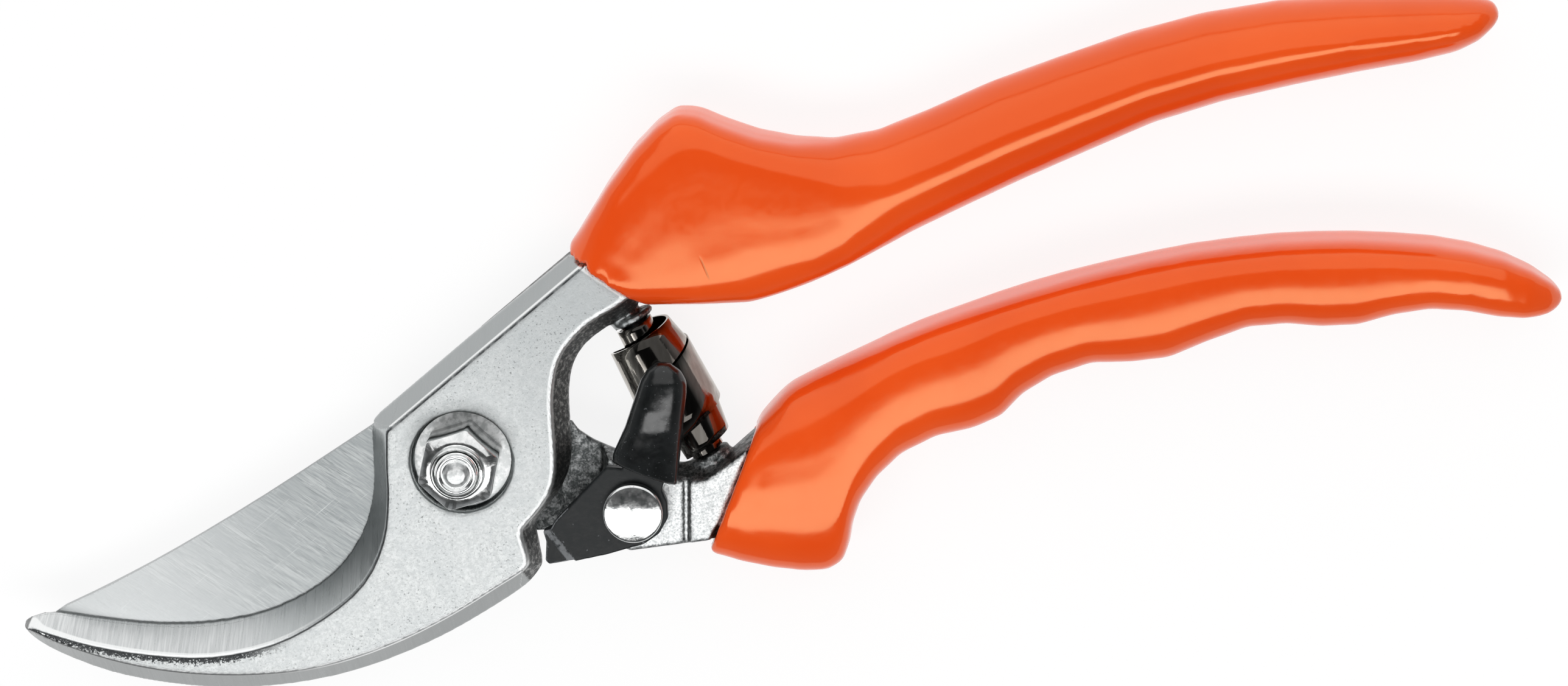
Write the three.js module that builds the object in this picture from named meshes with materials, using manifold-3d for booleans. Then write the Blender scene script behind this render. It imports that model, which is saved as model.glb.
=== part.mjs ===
// Bypass pruning shears, closed and locked, lying flat.
// Frame, in millimetres: origin on the pivot axis at the outer face of the pivot bolt's head,
// +X towards the ends of the handles, +Y towards the upper handle, +Z towards the nut.
// The shears rest on the plane z = 0, on the bolt's head and on the two grips.

import * as THREE from 'three';
import { mergeVertices } from 'three/addons/utils/BufferGeometryUtils.js';
import Module from 'manifold-3d';

const wasm = await Module();
wasm.setup();

// ---------------------------------------------------------------- driving dimensions

const GAP = 0.3;               // between a sleeve and what it covers
const RUNNING = 0.1;           // between plates that slide on each other
const BORE_GAP = 0.12;         // radial, a round piece in its hole

// heights of the layers through the pivot
const BOLT_HEAD_TOP = 2.6;
const TANG_BACK = 2.7;
const TANG_PLATE_TOP = 4.9;
const BLADE_BACK = 5.0;
const BLADE_FACE = 8.0;
const HOOK_BACK = BLADE_FACE + RUNNING;
const HOOK_LAND_TOP = 9.6;     // top of the upright land round the hook half
const HOOK_FACE = 13.6;
const RECESS_FLOOR = 10.6;
const WASHER_TOP = 11.6;
const NUT_TOP = 18.9;
const COLLAR_TOP = 20.0;
const BOLT_TOP = 21.2;

// pivot hardware
const BOLT_HEAD_RADIUS = 7.0;
const BOLT_SQUARE = 7.4;       // across the flats of the key under the head
const BEARING_RADIUS = 4.0;
const THREAD_RADIUS = 3.0;
const NUT_ACROSS_FLATS = 10.0;
const COLLAR_RADIUS = 3.65;
const RECESS_RADIUS = 7.0;
const WASHER_RADIUS = 6.7;

// cutting half
const NECK_FACE = 13.0;
const LEVER_FLAT = 12.4;       // milled flat that the lock lever turns on
const HEAD_RADIUS = 12.4;
const HEAD_FLAT = 10.4;        // from the pivot axis to the straight upper side of the head
const HEAD_FLAT_DIRECTION = 112.5;
const BLADE_HEEL_RADIUS = 13.2;
const SHOULDER_RADIUS = 13.5;
const BLADE_RIVET_RADIUS = 1.7;
const BLADE_RIVETS = { front: [-8.6, -5.7], rear: [6.6, -7.8] };

// lock
const LOCK_PIVOT = [20.4, -13.3];
const LOCK_RIVET_RADIUS = 2.0;
const LOCK_RIVET_HEAD_RADIUS = 4.1;
const SPRING_WASHER_RADIUS = 3.8;
const LEVER_BACK = 13.0;
const LEVER_FRONT = 14.6;
const NOSE_BACK = 11.2;
const NOSE_FRONT = 12.9;

// grips
const GRIP_MIDDLE = 7.6;
const GRIP_HALF_DEPTH = 7.6;

// section of each grip: exponents of the superellipse where it is narrow and where it is wide,
// and how far the crest of the narrow part is below the middle, as a share of the width
const UPPER_SECTION = { narrow: 1.9, wide: 4.4, crest: 0.03 };
const LOWER_SECTION = { narrow: 3.1, wide: 3.1, crest: -0.05 };
const GRIP_SIDES = 28;

// volute spring
const SPRING_TOP = [27.9, 10.7];
const SPRING_FOOT = [31.8, -9.9];
const SPRING_STRIP = 0.4;      // thickness
const SPRING_STEPS_PER_TURN = 20;
const SPRING_END_GAP = 0.15;
const SEAT_RADIUS = 3.0;
const PEG_RADIUS = 1.5;

// ---------------------------------------------------------------- materials

function metal(colour, roughness) {
  return new THREE.MeshStandardMaterial({ color: colour, roughness, metalness: 1.0 });
}

function plastic(colour, roughness) {
  return new THREE.MeshStandardMaterial({ color: colour, roughness, metalness: 0.0 });
}

const BLASTED_STEEL = metal(0xcdd4d4, 0.5);
const GROUND_STEEL = metal(0xc4caca, 0.35);
const FORGED_STEEL = metal(0x8f9696, 0.5);
const BRIGHT_STEEL = metal(0xd8dad8, 0.15);
const BLACK_STEEL = metal(0x26292c, 0.4);
const ORANGE_VINYL = plastic(0xe85220, 0.25);
const BLACK_VINYL = plastic(0x141518, 0.18);

// ---------------------------------------------------------------- solids

function solid(geometry) {
  const bare = geometry.clone();
  bare.deleteAttribute('normal');
  if (bare.getAttribute('uv')) {
    bare.deleteAttribute('uv');
  }
  const merged = mergeVertices(bare, 1e-5);
  return new wasm.Manifold(new wasm.Mesh({
    numProp: 3,
    vertProperties: new Float32Array(merged.attributes.position.array),
    triVerts: new Uint32Array(merged.index.array),
  }));
}

function geometryOf(body) {
  const mesh = body.getMesh();
  const geometry = new THREE.BufferGeometry();
  geometry.setAttribute('position', new THREE.BufferAttribute(mesh.vertProperties, 3));
  geometry.setIndex(new THREE.BufferAttribute(mesh.triVerts, 1));
  geometry.computeVertexNormals();
  return geometry;
}

// A closed solid through rings of points. Every ring has the same number of points and turns
// the same way, and the two end rings are capped flat.
function ringSolid(rings) {
  const count = rings[0].length;
  const positions = rings.flat().flatMap((p) => [p.x, p.y, p.z]);
  const index = [];
  for (let k = 0; k + 1 < rings.length; k += 1) {
    for (let i = 0; i < count; i += 1) {
      const j = (i + 1) % count;
      const a = k * count + i;
      const b = k * count + j;
      index.push(a, b, b + count);
      index.push(a, b + count, a + count);
    }
  }
  const last = (rings.length - 1) * count;
  for (const [i, j, k] of capTriangles(rings[0])) {
    index.push(k, j, i);
  }
  for (const [i, j, k] of capTriangles(rings[rings.length - 1])) {
    index.push(last + i, last + j, last + k);
  }
  const outward = signedVolume(positions, index) > 0;
  const geometry = new THREE.BufferGeometry();
  geometry.setAttribute('position', new THREE.BufferAttribute(new Float32Array(positions), 3));
  geometry.setIndex(outward ? index : index.reverse());
  return solid(geometry);
}

// Six times the volume inside a closed mesh, negative where its faces point inwards.
function signedVolume(positions, index) {
  const point = (i) => new THREE.Vector3().fromArray(positions, 3 * i);
  let sum = 0;
  for (let t = 0; t < index.length; t += 3) {
    sum += point(index[t]).dot(point(index[t + 1]).cross(point(index[t + 2])));
  }
  return sum;
}

// Triangles over a flat ring, each one turning the way that the ring turns.
function capTriangles(ring) {
  const normal = new THREE.Vector3();
  for (let i = 0; i < ring.length; i += 1) {
    normal.add(new THREE.Vector3().crossVectors(ring[i], ring[(i + 1) % ring.length]));
  }
  normal.normalize();
  const helper = Math.abs(normal.z) < 0.9 ? new THREE.Vector3(0, 0, 1) : new THREE.Vector3(1, 0, 0);
  const u = new THREE.Vector3().crossVectors(helper, normal).normalize();
  const v = new THREE.Vector3().crossVectors(normal, u);
  const flat = ring.map((p) => new THREE.Vector2(p.dot(u), p.dot(v)));
  return THREE.ShapeUtils.triangulateShape(flat, []);
}

// A solid between outlines at rising heights: levels is a list of [z, outline].
function levelSolid(levels) {
  return ringSolid(levels.map(([z, outline]) => outline.map(([x, y]) => new THREE.Vector3(x, y, z))));
}

// A smooth open curve through rows of numbers, with the given number of steps per span.
function smoothRows(rows, steps) {
  const spans = rows.length - 1;
  const width = rows[0].length;
  const out = [];
  for (let s = 0; s < spans; s += 1) {
    const [a, b, c, d] = [rows[Math.max(s - 1, 0)], rows[s], rows[s + 1], rows[Math.min(s + 2, spans)]];
    for (let k = 0; k < steps; k += 1) {
      const t = k / steps;
      const row = [];
      for (let i = 0; i < width; i += 1) {
        const slopeIn = (c[i] - a[i]) / 2;
        const slopeOut = (d[i] - b[i]) / 2;
        const bend = 2 * (b[i] - c[i]) + slopeIn + slopeOut;
        row.push(b[i] + t * (slopeIn + t * (-3 * (b[i] - c[i]) - 2 * slopeIn - slopeOut + t * bend)));
      }
      out.push(row);
    }
  }
  out.push(rows[spans]);
  return out;
}

function arc(radius, fromDegrees, toDegrees, steps) {
  const points = [];
  for (let k = 0; k <= steps; k += 1) {
    const angle = THREE.MathUtils.degToRad(fromDegrees + ((toDegrees - fromDegrees) * k) / steps);
    points.push([radius * Math.cos(angle), radius * Math.sin(angle)]);
  }
  return points;
}

// Directions at which a circle about the pivot meets the straight side of the head, which is
// parallel to the hook's upper edge.
function flatAngles(radius, distance) {
  const half = THREE.MathUtils.radToDeg(Math.acos(distance / radius));
  return { from: HEAD_FLAT_DIRECTION - half, to: HEAD_FLAT_DIRECTION + half };
}

// A turned piece on the Z axis; the profile is a list of [radius, z] from the axis, up the
// outside and back to the axis.
function turned(profile, sides = 40) {
  const geometry = new THREE.LatheGeometry(profile.map(([r, z]) => new THREE.Vector2(r, z)), sides);
  geometry.rotateX(Math.PI / 2);
  return solid(geometry);
}

// A round bar between two points in space.
function roundBar(from, to, radius, sides = 28) {
  const start = new THREE.Vector3(...from);
  const span = new THREE.Vector3(...to).sub(start);
  const geometry = new THREE.CylinderGeometry(radius, radius, span.length(), sides);
  geometry.translate(0, span.length() / 2, 0);
  geometry.applyQuaternion(new THREE.Quaternion().setFromUnitVectors(
    new THREE.Vector3(0, 1, 0), span.clone().normalize()));
  geometry.translate(start.x, start.y, start.z);
  return solid(geometry);
}

// An upright box about a centre, turned in the plane.
function plate([x, y], [length, width], zLow, zHigh, degrees = 0) {
  const geometry = new THREE.BoxGeometry(length, width, zHigh - zLow);
  geometry.rotateZ(THREE.MathUtils.degToRad(degrees));
  geometry.translate(x, y, (zLow + zHigh) / 2);
  return solid(geometry);
}

function moved(body, x, y, z = 0) {
  const geometry = geometryOf(body);
  geometry.translate(x, y, z);
  return solid(geometry);
}

// Fractions of the way from the first outline to the second.
function between(rows, part) {
  return rows.map(([x, y, faceX, faceY]) => [x + (faceX - x) * part, y + (faceY - y) * part]);
}

// An outline moved inwards by a distance.
function inset(outline, distance) {
  const turn = Math.sign(THREE.ShapeUtils.area(outline.map(([x, y]) => new THREE.Vector2(x, y))));
  const count = outline.length;
  return outline.map(([x, y], i) => {
    const [beforeX, beforeY] = outline[(i + count - 1) % count];
    const [afterX, afterY] = outline[(i + 1) % count];
    const along = new THREE.Vector2(x - beforeX, y - beforeY).normalize()
      .add(new THREE.Vector2(afterX - x, afterY - y).normalize()).normalize();
    return [x - turn * along.y * distance, y + turn * along.x * distance];
  });
}

// ---------------------------------------------------------------- tangs and grips

// Section of a tang: upper edge, lower edge, back and front heights. Its front corners carry
// a broad chamfer and its back corners a narrow one.
function tangRing([topX, topY, lowX, lowY, zBack, zFront], grow) {
  const across = new THREE.Vector3(lowX - topX, lowY - topY, 0);
  const width = across.length() + 2 * grow;
  across.normalize();
  const depth = zFront - zBack;
  const side = 0.17 * width;
  const frontStep = 0.36 * depth;
  const backStep = 0.11 * depth;
  const profile = [
    [0, zBack - grow + backStep],
    [side / 2, zBack - grow],
    [width - side / 2, zBack - grow],
    [width, zBack - grow + backStep],
    [width, zFront + grow - frontStep],
    [width - side, zFront + grow],
    [side, zFront + grow],
    [0, zFront + grow - frontStep],
  ];
  return profile.map(([s, z]) => new THREE.Vector3(
    topX + across.x * (s - grow), topY + across.y * (s - grow), z));
}

function tangSolid(stations, grow = 0) {
  return ringSolid(stations.map((station) => tangRing(station, grow)));
}

// Section of a grip: upper edge, lower edge, middle height and half depth. The wide guards are
// flatter than the handles behind them.
function gripRing([topX, topY, lowX, lowY, middle, halfDepth], section) {
  const ring = [];
  const flatness = Math.hypot(lowX - topX, lowY - topY) / (2 * halfDepth);
  const wide = THREE.MathUtils.smoothstep(flatness, 0.9, 1.35);
  const roundness = THREE.MathUtils.lerp(section.narrow, section.wide, wide);
  for (let k = 0; k < GRIP_SIDES; k += 1) {
    const angle = (2 * Math.PI * k) / GRIP_SIDES;
    const c = Math.cos(angle);
    const s = Math.sin(angle);
    const across = Math.sign(c) * Math.abs(c) ** (2 / roundness);
    const up = Math.sign(s) * Math.abs(s) ** (2 / roundness);
    const share = (1 - across) / 2 + section.crest * (1 - wide) * up * up;
    ring.push(new THREE.Vector3(
      topX + (lowX - topX) * share, topY + (lowY - topY) * share, middle + halfDepth * up));
  }
  return ring;
}

function gripSolid(stations, tang, section) {
  const outer = ringSolid(stations.map((station) => gripRing(station, section)));
  return outer.subtract(tangSolid(tang, GAP));
}

// ---------------------------------------------------------------- hook half

// Rows are [x, y at the back, x, y on the front face]. The lower edge runs from the tip to the
// lip of the lock notch, the inner edge follows the notch and the neck to the upper grip.
const HOOK_LOWER_EDGE = [
  [-66.2, -4.9, -64.9, -4.7],
  [-65.3, -6.9, -63.9, -5.3],
  [-62.6, -10.0, -61.1, -7.9],
  [-57.0, -14.5, -55.4, -12.0],
  [-51.0, -17.9, -49.4, -15.4],
  [-44.6, -20.7, -43.2, -18.0],
  [-38.1, -22.7, -36.8, -20.0],
  [-31.5, -23.95, -30.1, -21.4],
  [-24.6, -24.5, -23.2, -21.8],
  [-17.4, -24.2, -15.9, -21.3],
  [-9.9, -23.15, -8.3, -19.95],
  [-2.1, -21.25, -0.6, -17.9],
  [2.4, -19.8, 2.4, -17.1],
  [4.5, -18.5, 3.6, -16.6],
];
const HOOK_INNER_SIDE = [
  [5.3, -17.8, 3.95, -16.3],
  [5.55, -16.6, 4.2, -15.4],
  [5.85, -14.4, 4.3, -13.6],
  [6.1, -12.5, 4.4, -12.0],
  [6.7, -11.3, 5.0, -11.15],
  [8.9, -10.0, 7.0, -9.95],
  [11.6, -7.9, 9.7, -7.9],
  [13.7, -5.0, 11.5, -5.2],
  [15.0, -1.0, 12.8, -1.0],
  [16.4, 4.0, 14.2, 4.2],
  [18.2, 7.6, 16.1, 8.4],
  [20.8, 9.9, 18.4, 11.0],
  [24.2, 11.2, 22.4, 13.3],
  [27.4, 12.0, 26.4, 14.3],
  [29.6, 13.1, 28.8, 15.1],
];
const HOOK_UPPER_EDGE = [
  [22.4, 22.1, 24.3, 20.9],
  [6.0, 15.5, 7.6, 13.85],
  [-9.2, 9.05, -7.7, 7.4],
  [-10.4, 8.35, -8.3, 7.2],
];
// The inner edge of the hook is ground to a bevel from the front face to the blade.
const HOOK_BEVEL = [
  [-11.4, 6.7, -8.6, 6.7],
  [-12.6, 2.6, -10.1, 2.3],
  [-13.9, -1.1, -11.4, -2.0],
  [-16.7, -5.6, -13.9, -7.4],
  [-21.4, -9.6, -18.4, -12.2],
  [-27.0, -11.9, -25.2, -15.2],
  [-33.8, -12.8, -33.2, -16.7],
  [-41.0, -12.1, -41.8, -15.9],
  [-48.4, -10.1, -49.8, -13.1],
  [-55.6, -7.1, -57.0, -9.5],
  [-61.5, -4.4, -62.2, -6.05],
  [-64.3, -4.1, -63.8, -4.9],
  [-65.8, -4.2, -64.7, -4.6],
];

function hookPlate() {
  const plain = [
    ...smoothRows(HOOK_LOWER_EDGE, 3),
    ...smoothRows(HOOK_INNER_SIDE, 2),
    ...HOOK_UPPER_EDGE,
  ];
  const bevel = smoothRows(HOOK_BEVEL, 3);
  const landPart = (HOOK_LAND_TOP - HOOK_BACK) / (HOOK_FACE - HOOK_BACK);
  const back = [...plain, ...bevel].map(([x, y]) => [x, y]);
  const land = [...between(plain, 0), ...between(bevel, landPart)];
  const face = between([...plain, ...bevel], 1);
  return levelSolid([[HOOK_BACK, back], [HOOK_LAND_TOP, land], [HOOK_FACE, face]]);
}

// The back of the neck, behind the hook's back plane, clear of the cutting half's head.
function hookNeckBack() {
  const clearRadius = 14.2;
  const rim = [
    [18.4, 8.0, 18.9, 9.3],
    [20.8, 9.9, 21.0, 11.2],
    [24.2, 11.2, 24.4, 12.4],
    [27.4, 12.0, 27.4, 13.1],
    [29.6, 13.1, 29.0, 14.0],
    [22.4, 22.1, 22.6, 20.8],
    [7.0, 15.6, 9.0, 15.0],
    ...arc(clearRadius, 55, 21, 6).map(([x, y]) => [x, y, x * 1.06, y * 1.06]),
  ];
  const shoulder = 5.4;
  const back = 2.7;
  return levelSolid([
    [back, between(rim, 1)],
    [shoulder, between(rim, 0)],
    [HOOK_BACK + 0.4, between(rim, 0)],
  ]);
}

const UPPER_TANG = [
  [20.4, 20.9, 27.6, 13.2, 3.2, 13.2],
  [23.6, 22.3, 30.4, 13.7, 3.0, 13.2],
  [29.5, 24.8, 36.0, 14.3, 3.4, 12.6],
  [36.0, 26.0, 42.0, 14.6, 3.8, 12.0],
  [43.0, 25.2, 47.5, 14.8, 4.0, 11.4],
  [51.0, 23.4, 53.0, 14.4, 4.1, 11.1],
  [60.0, 22.2, 61.0, 14.4, 4.1, 11.1],
  [70.0, 22.3, 70.5, 15.0, 4.1, 11.1],
  [80.0, 23.6, 80.5, 16.6, 4.1, 11.1],
  [90.0, 24.5, 90.0, 17.7, 4.1, 11.1],
  [100.0, 25.2, 100.0, 18.7, 4.1, 11.1],
  [110.0, 25.2, 110.0, 18.9, 4.1, 11.1],
  [120.0, 24.3, 119.5, 18.2, 4.1, 11.1],
  [130.0, 22.6, 129.0, 17.0, 4.2, 11.0],
  [138.0, 20.6, 137.0, 15.8, 4.4, 10.8],
];

const UPPER_GRIP = [
  [22.6, 23.1, 30.9, 12.5, 8.0, 6.9],
  [26.0, 26.0, 34.4, 11.7, 7.8, 7.2],
  [30.5, 29.9, 38.3, 10.6, 7.7, 7.4],
  [35.5, 33.6, 41.8, 9.6, GRIP_MIDDLE, GRIP_HALF_DEPTH],
  [39.5, 35.8, 44.5, 8.9, GRIP_MIDDLE, GRIP_HALF_DEPTH],
  [42.6, 36.7, 47.2, 8.8, GRIP_MIDDLE, GRIP_HALF_DEPTH],
  [45.2, 35.7, 49.5, 8.85, GRIP_MIDDLE, GRIP_HALF_DEPTH],
  [48.4, 33.0, 52.0, 9.0, GRIP_MIDDLE, GRIP_HALF_DEPTH],
  [52.0, 30.3, 55.0, 9.3, GRIP_MIDDLE, GRIP_HALF_DEPTH],
  [56.5, 28.0, 58.8, 9.8, GRIP_MIDDLE, GRIP_HALF_DEPTH],
  [61.5, 26.4, 63.0, 10.4, GRIP_MIDDLE, GRIP_HALF_DEPTH],
  [67.5, 25.8, 68.2, 11.3, GRIP_MIDDLE, GRIP_HALF_DEPTH],
  [75.0, 26.4, 75.5, 12.4, GRIP_MIDDLE, GRIP_HALF_DEPTH],
  [84.0, 27.5, 84.0, 13.6, GRIP_MIDDLE, GRIP_HALF_DEPTH],
  [94.0, 28.0, 93.5, 14.7, GRIP_MIDDLE, GRIP_HALF_DEPTH],
  [104.0, 28.3, 103.5, 15.8, GRIP_MIDDLE, GRIP_HALF_DEPTH],
  [114.0, 27.9, 113.0, 15.8, GRIP_MIDDLE, GRIP_HALF_DEPTH],
  [124.0, 26.5, 122.5, 15.1, GRIP_MIDDLE, 7.5],
  [133.0, 24.4, 131.5, 14.2, GRIP_MIDDLE, 7.3],
  [141.0, 22.1, 139.5, 13.2, GRIP_MIDDLE, 6.8],
  [146.3, 20.3, 144.8, 12.9, GRIP_MIDDLE, 6.0],
  [149.6, 18.9, 148.0, 13.4, GRIP_MIDDLE, 4.9],
  [151.2, 17.8, 150.4, 14.6, GRIP_MIDDLE, 3.3],
  [151.8, 16.8, 151.6, 15.8, GRIP_MIDDLE, 1.4],
];

function springAxis() {
  const top = new THREE.Vector3(...SPRING_TOP, GRIP_MIDDLE);
  const foot = new THREE.Vector3(...SPRING_FOOT, GRIP_MIDDLE);
  const along = foot.clone().sub(top);
  const length = along.length();
  along.normalize();
  return { top, foot, along, length };
}

// A seat disc and a peg that stand in an end of the spring.
function springSeat(end, inward) {
  const point = (distance) => end.clone().addScaledVector(inward, distance).toArray();
  const seatDepth = 0.9;
  const rootDepth = 2.4;
  const pegLength = 2.8;
  return roundBar(point(-seatDepth), point(0), SEAT_RADIUS)
    .add(roundBar(point(-rootDepth), point(pegLength), PEG_RADIUS, 20));
}

function counterBlade() {
  const { top, along } = springAxis();
  const bore = BEARING_RADIUS + BORE_GAP;
  const pivotHole = turned([[0, HOOK_BACK - 1], [bore, HOOK_BACK - 1], [bore, RECESS_FLOOR],
    [RECESS_RADIUS, RECESS_FLOOR], [RECESS_RADIUS, HOOK_FACE + 1], [0, HOOK_FACE + 1]], 48);
  return hookPlate()
    .add(hookNeckBack())
    .add(tangSolid(UPPER_TANG))
    .add(springSeat(top, along))
    .subtract(pivotHole);
}

// ---------------------------------------------------------------- cutting half

// Rows are [x, y on the flat face, x, y at the back]; the cutting edge is ground on the back.
const BLADE_EDGE = [
  [-63.7, -5.35, -62.2, -5.1],
  [-58.0, -8.7, -57.2, -6.4],
  [-50.0, -12.3, -49.2, -8.4],
  [-42.0, -14.5, -41.4, -10.0],
  [-33.0, -15.6, -32.6, -10.9],
  [-24.0, -15.9, -23.9, -11.3],
  [-15.0, -15.8, -15.1, -12.0],
  [-8.0, -15.3, -8.0, -13.8],
  [-3.0, -14.7, -3.0, -14.5],
];
const BLADE_SPINE = [
  [-11.6, 7.2, -11.6, 7.0],
  [-28.6, 2.35, -28.7, 2.1],
  [-43.1, -1.25, -43.2, -1.5],
  [-53.3, -3.25, -53.4, -3.5],
  [-61.1, -4.4, -60.6, -4.6],
];

function cuttingBlade() {
  const same = ([x, y]) => [x, y, x, y];
  const rows = [
    ...smoothRows(BLADE_EDGE, 3),
    ...arc(BLADE_HEEL_RADIUS, -80, flatAngles(BLADE_HEEL_RADIUS, HEAD_FLAT + 0.6).from, 18).map(same),
    ...smoothRows(BLADE_SPINE, 3),
  ];
  let body = levelSolid([[BLADE_BACK, between(rows, 1)], [BLADE_FACE, between(rows, 0)]]);
  const bore = BEARING_RADIUS + BORE_GAP;
  body = body.subtract(roundBar([0, 0, BLADE_BACK - 1], [0, 0, BLADE_FACE + 1], bore, 48));
  for (const [x, y] of Object.values(BLADE_RIVETS)) {
    const hole = BLADE_RIVET_RADIUS + BORE_GAP;
    body = body.subtract(moved(turned([[0, BLADE_BACK - 1], [hole, BLADE_BACK - 1], [hole, BLADE_FACE - 1],
      [hole + 0.9, BLADE_FACE + 0.2], [0, BLADE_FACE + 0.2]], 28), x, y));
  }
  return body;
}

// Rows are [x, y at the parting line, x, y on the front face].
const NECK_RIM = [
  [15.5, -18.0, 16.0, -17.1],
  [17.6, -19.7, 18.0, -18.8],
  [24.9, -21.0, 25.2, -20.0],
  [28.7, -21.6, 28.9, -20.6],
  [38.8, -9.0, 37.9, -10.0],
  [35.6, -10.2, 34.6, -11.2],
  [31.6, -10.6, 30.8, -12.4],
  [27.9, -10.1, 27.6, -11.9],
  [23.5, -8.2, 23.4, -10.0],
  [19.6, -5.4, 20.4, -7.2],
  [17.5, -3.55, 18.7, -5.3],
  [16.0, -1.7, 17.5, -3.4],
  [15.4, 0.0, 16.4, -1.8],
  [12.0, 0.2, 12.6, -2.0],
  [10.5, -11.5, 10.8, -11.4],
];

function neckSolid() {
  const parting = between(NECK_RIM, 0);
  const body = levelSolid([
    [TANG_BACK, inset(parting, 1.3)],
    [TANG_PLATE_TOP, inset(parting, 0.75)],
    [BLADE_FACE, parting],
    [NECK_FACE, between(NECK_RIM, 1)],
  ]);
  // room for the blade's heel and, above it, for the hook half as it turns
  const sweep = turned([[0, TANG_PLATE_TOP], [SHOULDER_RADIUS, TANG_PLATE_TOP],
    [SHOULDER_RADIUS, BLADE_FACE], [18.8, BLADE_FACE], [20.3, NECK_FACE + 1], [0, NECK_FACE + 1]], 96);
  const flat = plate([17.0, -14.5], [20.6, 22], LEVER_FLAT, NECK_FACE + 1, -18);
  const groove = plate([27.3, -15.0], [0.8, 22], LEVER_FLAT - 0.5, NECK_FACE + 1, -18);
  return body.subtract(sweep).subtract(flat).subtract(groove);
}

function headPlate() {
  const flat = flatAngles(HEAD_RADIUS, HEAD_FLAT);
  const rim = [
    ...arc(HEAD_RADIUS, 0, flat.from, 10),
    ...arc(HEAD_RADIUS, flat.to, 262, 16),
    [3.0, -13.4],
    [8.0, -14.9],
    [12.6, -16.9],
    [17.0, -19.0],
    [22.0, -16.0],
    [20.0, -8.6],
    [17.0, -5.4],
    [15.0, -3.4],
    [13.5, -1.5],
  ];
  return levelSolid([[TANG_BACK, rim], [TANG_PLATE_TOP, rim]]);
}

const LOWER_TANG = [
  [34.2, -11.2, 25.6, -20.7, 3.3, 12.7],
  [39.3, -8.9, 29.4, -21.5, 3.3, 12.6],
  [45.0, -7.6, 36.5, -22.4, 3.6, 12.0],
  [49.5, -7.2, 44.0, -19.6, 3.9, 11.6],
  [54.0, -6.8, 51.5, -14.8, 4.1, 11.1],
  [60.0, -6.0, 59.5, -13.0, 4.1, 11.1],
  [70.0, -5.0, 70.0, -12.0, 4.1, 11.1],
  [80.0, -4.0, 80.0, -10.3, 4.1, 11.1],
  [90.0, -4.4, 90.0, -10.9, 4.1, 11.1],
  [100.0, -5.4, 100.0, -11.8, 4.1, 11.1],
  [110.0, -6.8, 109.2, -12.3, 4.1, 11.1],
  [120.0, -9.2, 118.6, -14.8, 4.1, 11.1],
  [130.0, -12.2, 128.2, -17.0, 4.2, 11.0],
  [138.0, -15.8, 136.2, -20.0, 4.4, 10.8],
];

const LOWER_GRIP = [
  [40.2, -7.2, 27.9, -22.8, 7.9, 6.6],
  [42.5, -5.7, 31.6, -25.4, 7.7, 7.1],
  [44.7, -4.5, 35.6, -27.6, 7.7, 7.4],
  [46.4, -3.95, 39.5, -29.3, GRIP_MIDDLE, GRIP_HALF_DEPTH],
  [48.4, -3.6, 42.6, -30.1, GRIP_MIDDLE, GRIP_HALF_DEPTH],
  [50.0, -3.3, 44.9, -29.5, GRIP_MIDDLE, GRIP_HALF_DEPTH],
  [51.5, -3.1, 46.6, -27.4, GRIP_MIDDLE, GRIP_HALF_DEPTH],
  [53.2, -2.85, 48.0, -24.7, GRIP_MIDDLE, GRIP_HALF_DEPTH],
  [55.2, -2.6, 49.9, -22.1, GRIP_MIDDLE, GRIP_HALF_DEPTH],
  [57.8, -2.3, 53.0, -19.6, GRIP_MIDDLE, GRIP_HALF_DEPTH],
  [61.0, -1.9, 57.2, -17.5, GRIP_MIDDLE, GRIP_HALF_DEPTH],
  [65.0, -1.5, 62.5, -16.6, GRIP_MIDDLE, GRIP_HALF_DEPTH],
  [69.0, -1.25, 67.8, -17.0, GRIP_MIDDLE, GRIP_HALF_DEPTH],
  [72.5, -1.1, 71.8, -16.5, GRIP_MIDDLE, GRIP_HALF_DEPTH],
  [76.0, -1.0, 75.6, -14.4, GRIP_MIDDLE, GRIP_HALF_DEPTH],
  [80.5, -0.95, 80.2, -13.2, GRIP_MIDDLE, GRIP_HALF_DEPTH],
  [86.0, -1.05, 85.8, -13.1, GRIP_MIDDLE, GRIP_HALF_DEPTH],
  [91.5, -1.35, 91.0, -14.6, GRIP_MIDDLE, GRIP_HALF_DEPTH],
  [97.0, -1.75, 96.0, -15.5, GRIP_MIDDLE, GRIP_HALF_DEPTH],
  [103.0, -2.4, 101.6, -14.9, GRIP_MIDDLE, GRIP_HALF_DEPTH],
  [109.0, -3.4, 107.3, -14.6, GRIP_MIDDLE, GRIP_HALF_DEPTH],
  [114.5, -4.5, 112.4, -15.7, GRIP_MIDDLE, GRIP_HALF_DEPTH],
  [119.5, -5.8, 116.8, -17.5, GRIP_MIDDLE, GRIP_HALF_DEPTH],
  [124.5, -7.3, 121.5, -18.7, GRIP_MIDDLE, 7.5],
  [129.5, -9.1, 126.5, -18.8, GRIP_MIDDLE, 7.4],
  [134.5, -11.1, 131.3, -19.5, GRIP_MIDDLE, 7.2],
  [139.0, -13.4, 135.6, -21.1, GRIP_MIDDLE, 6.8],
  [143.0, -16.0, 139.9, -23.4, GRIP_MIDDLE, 6.1],
  [146.0, -18.7, 143.4, -24.8, GRIP_MIDDLE, 5.0],
  [148.0, -21.2, 146.1, -25.1, GRIP_MIDDLE, 3.5],
  [148.9, -23.1, 148.1, -24.6, GRIP_MIDDLE, 1.5],
];

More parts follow.
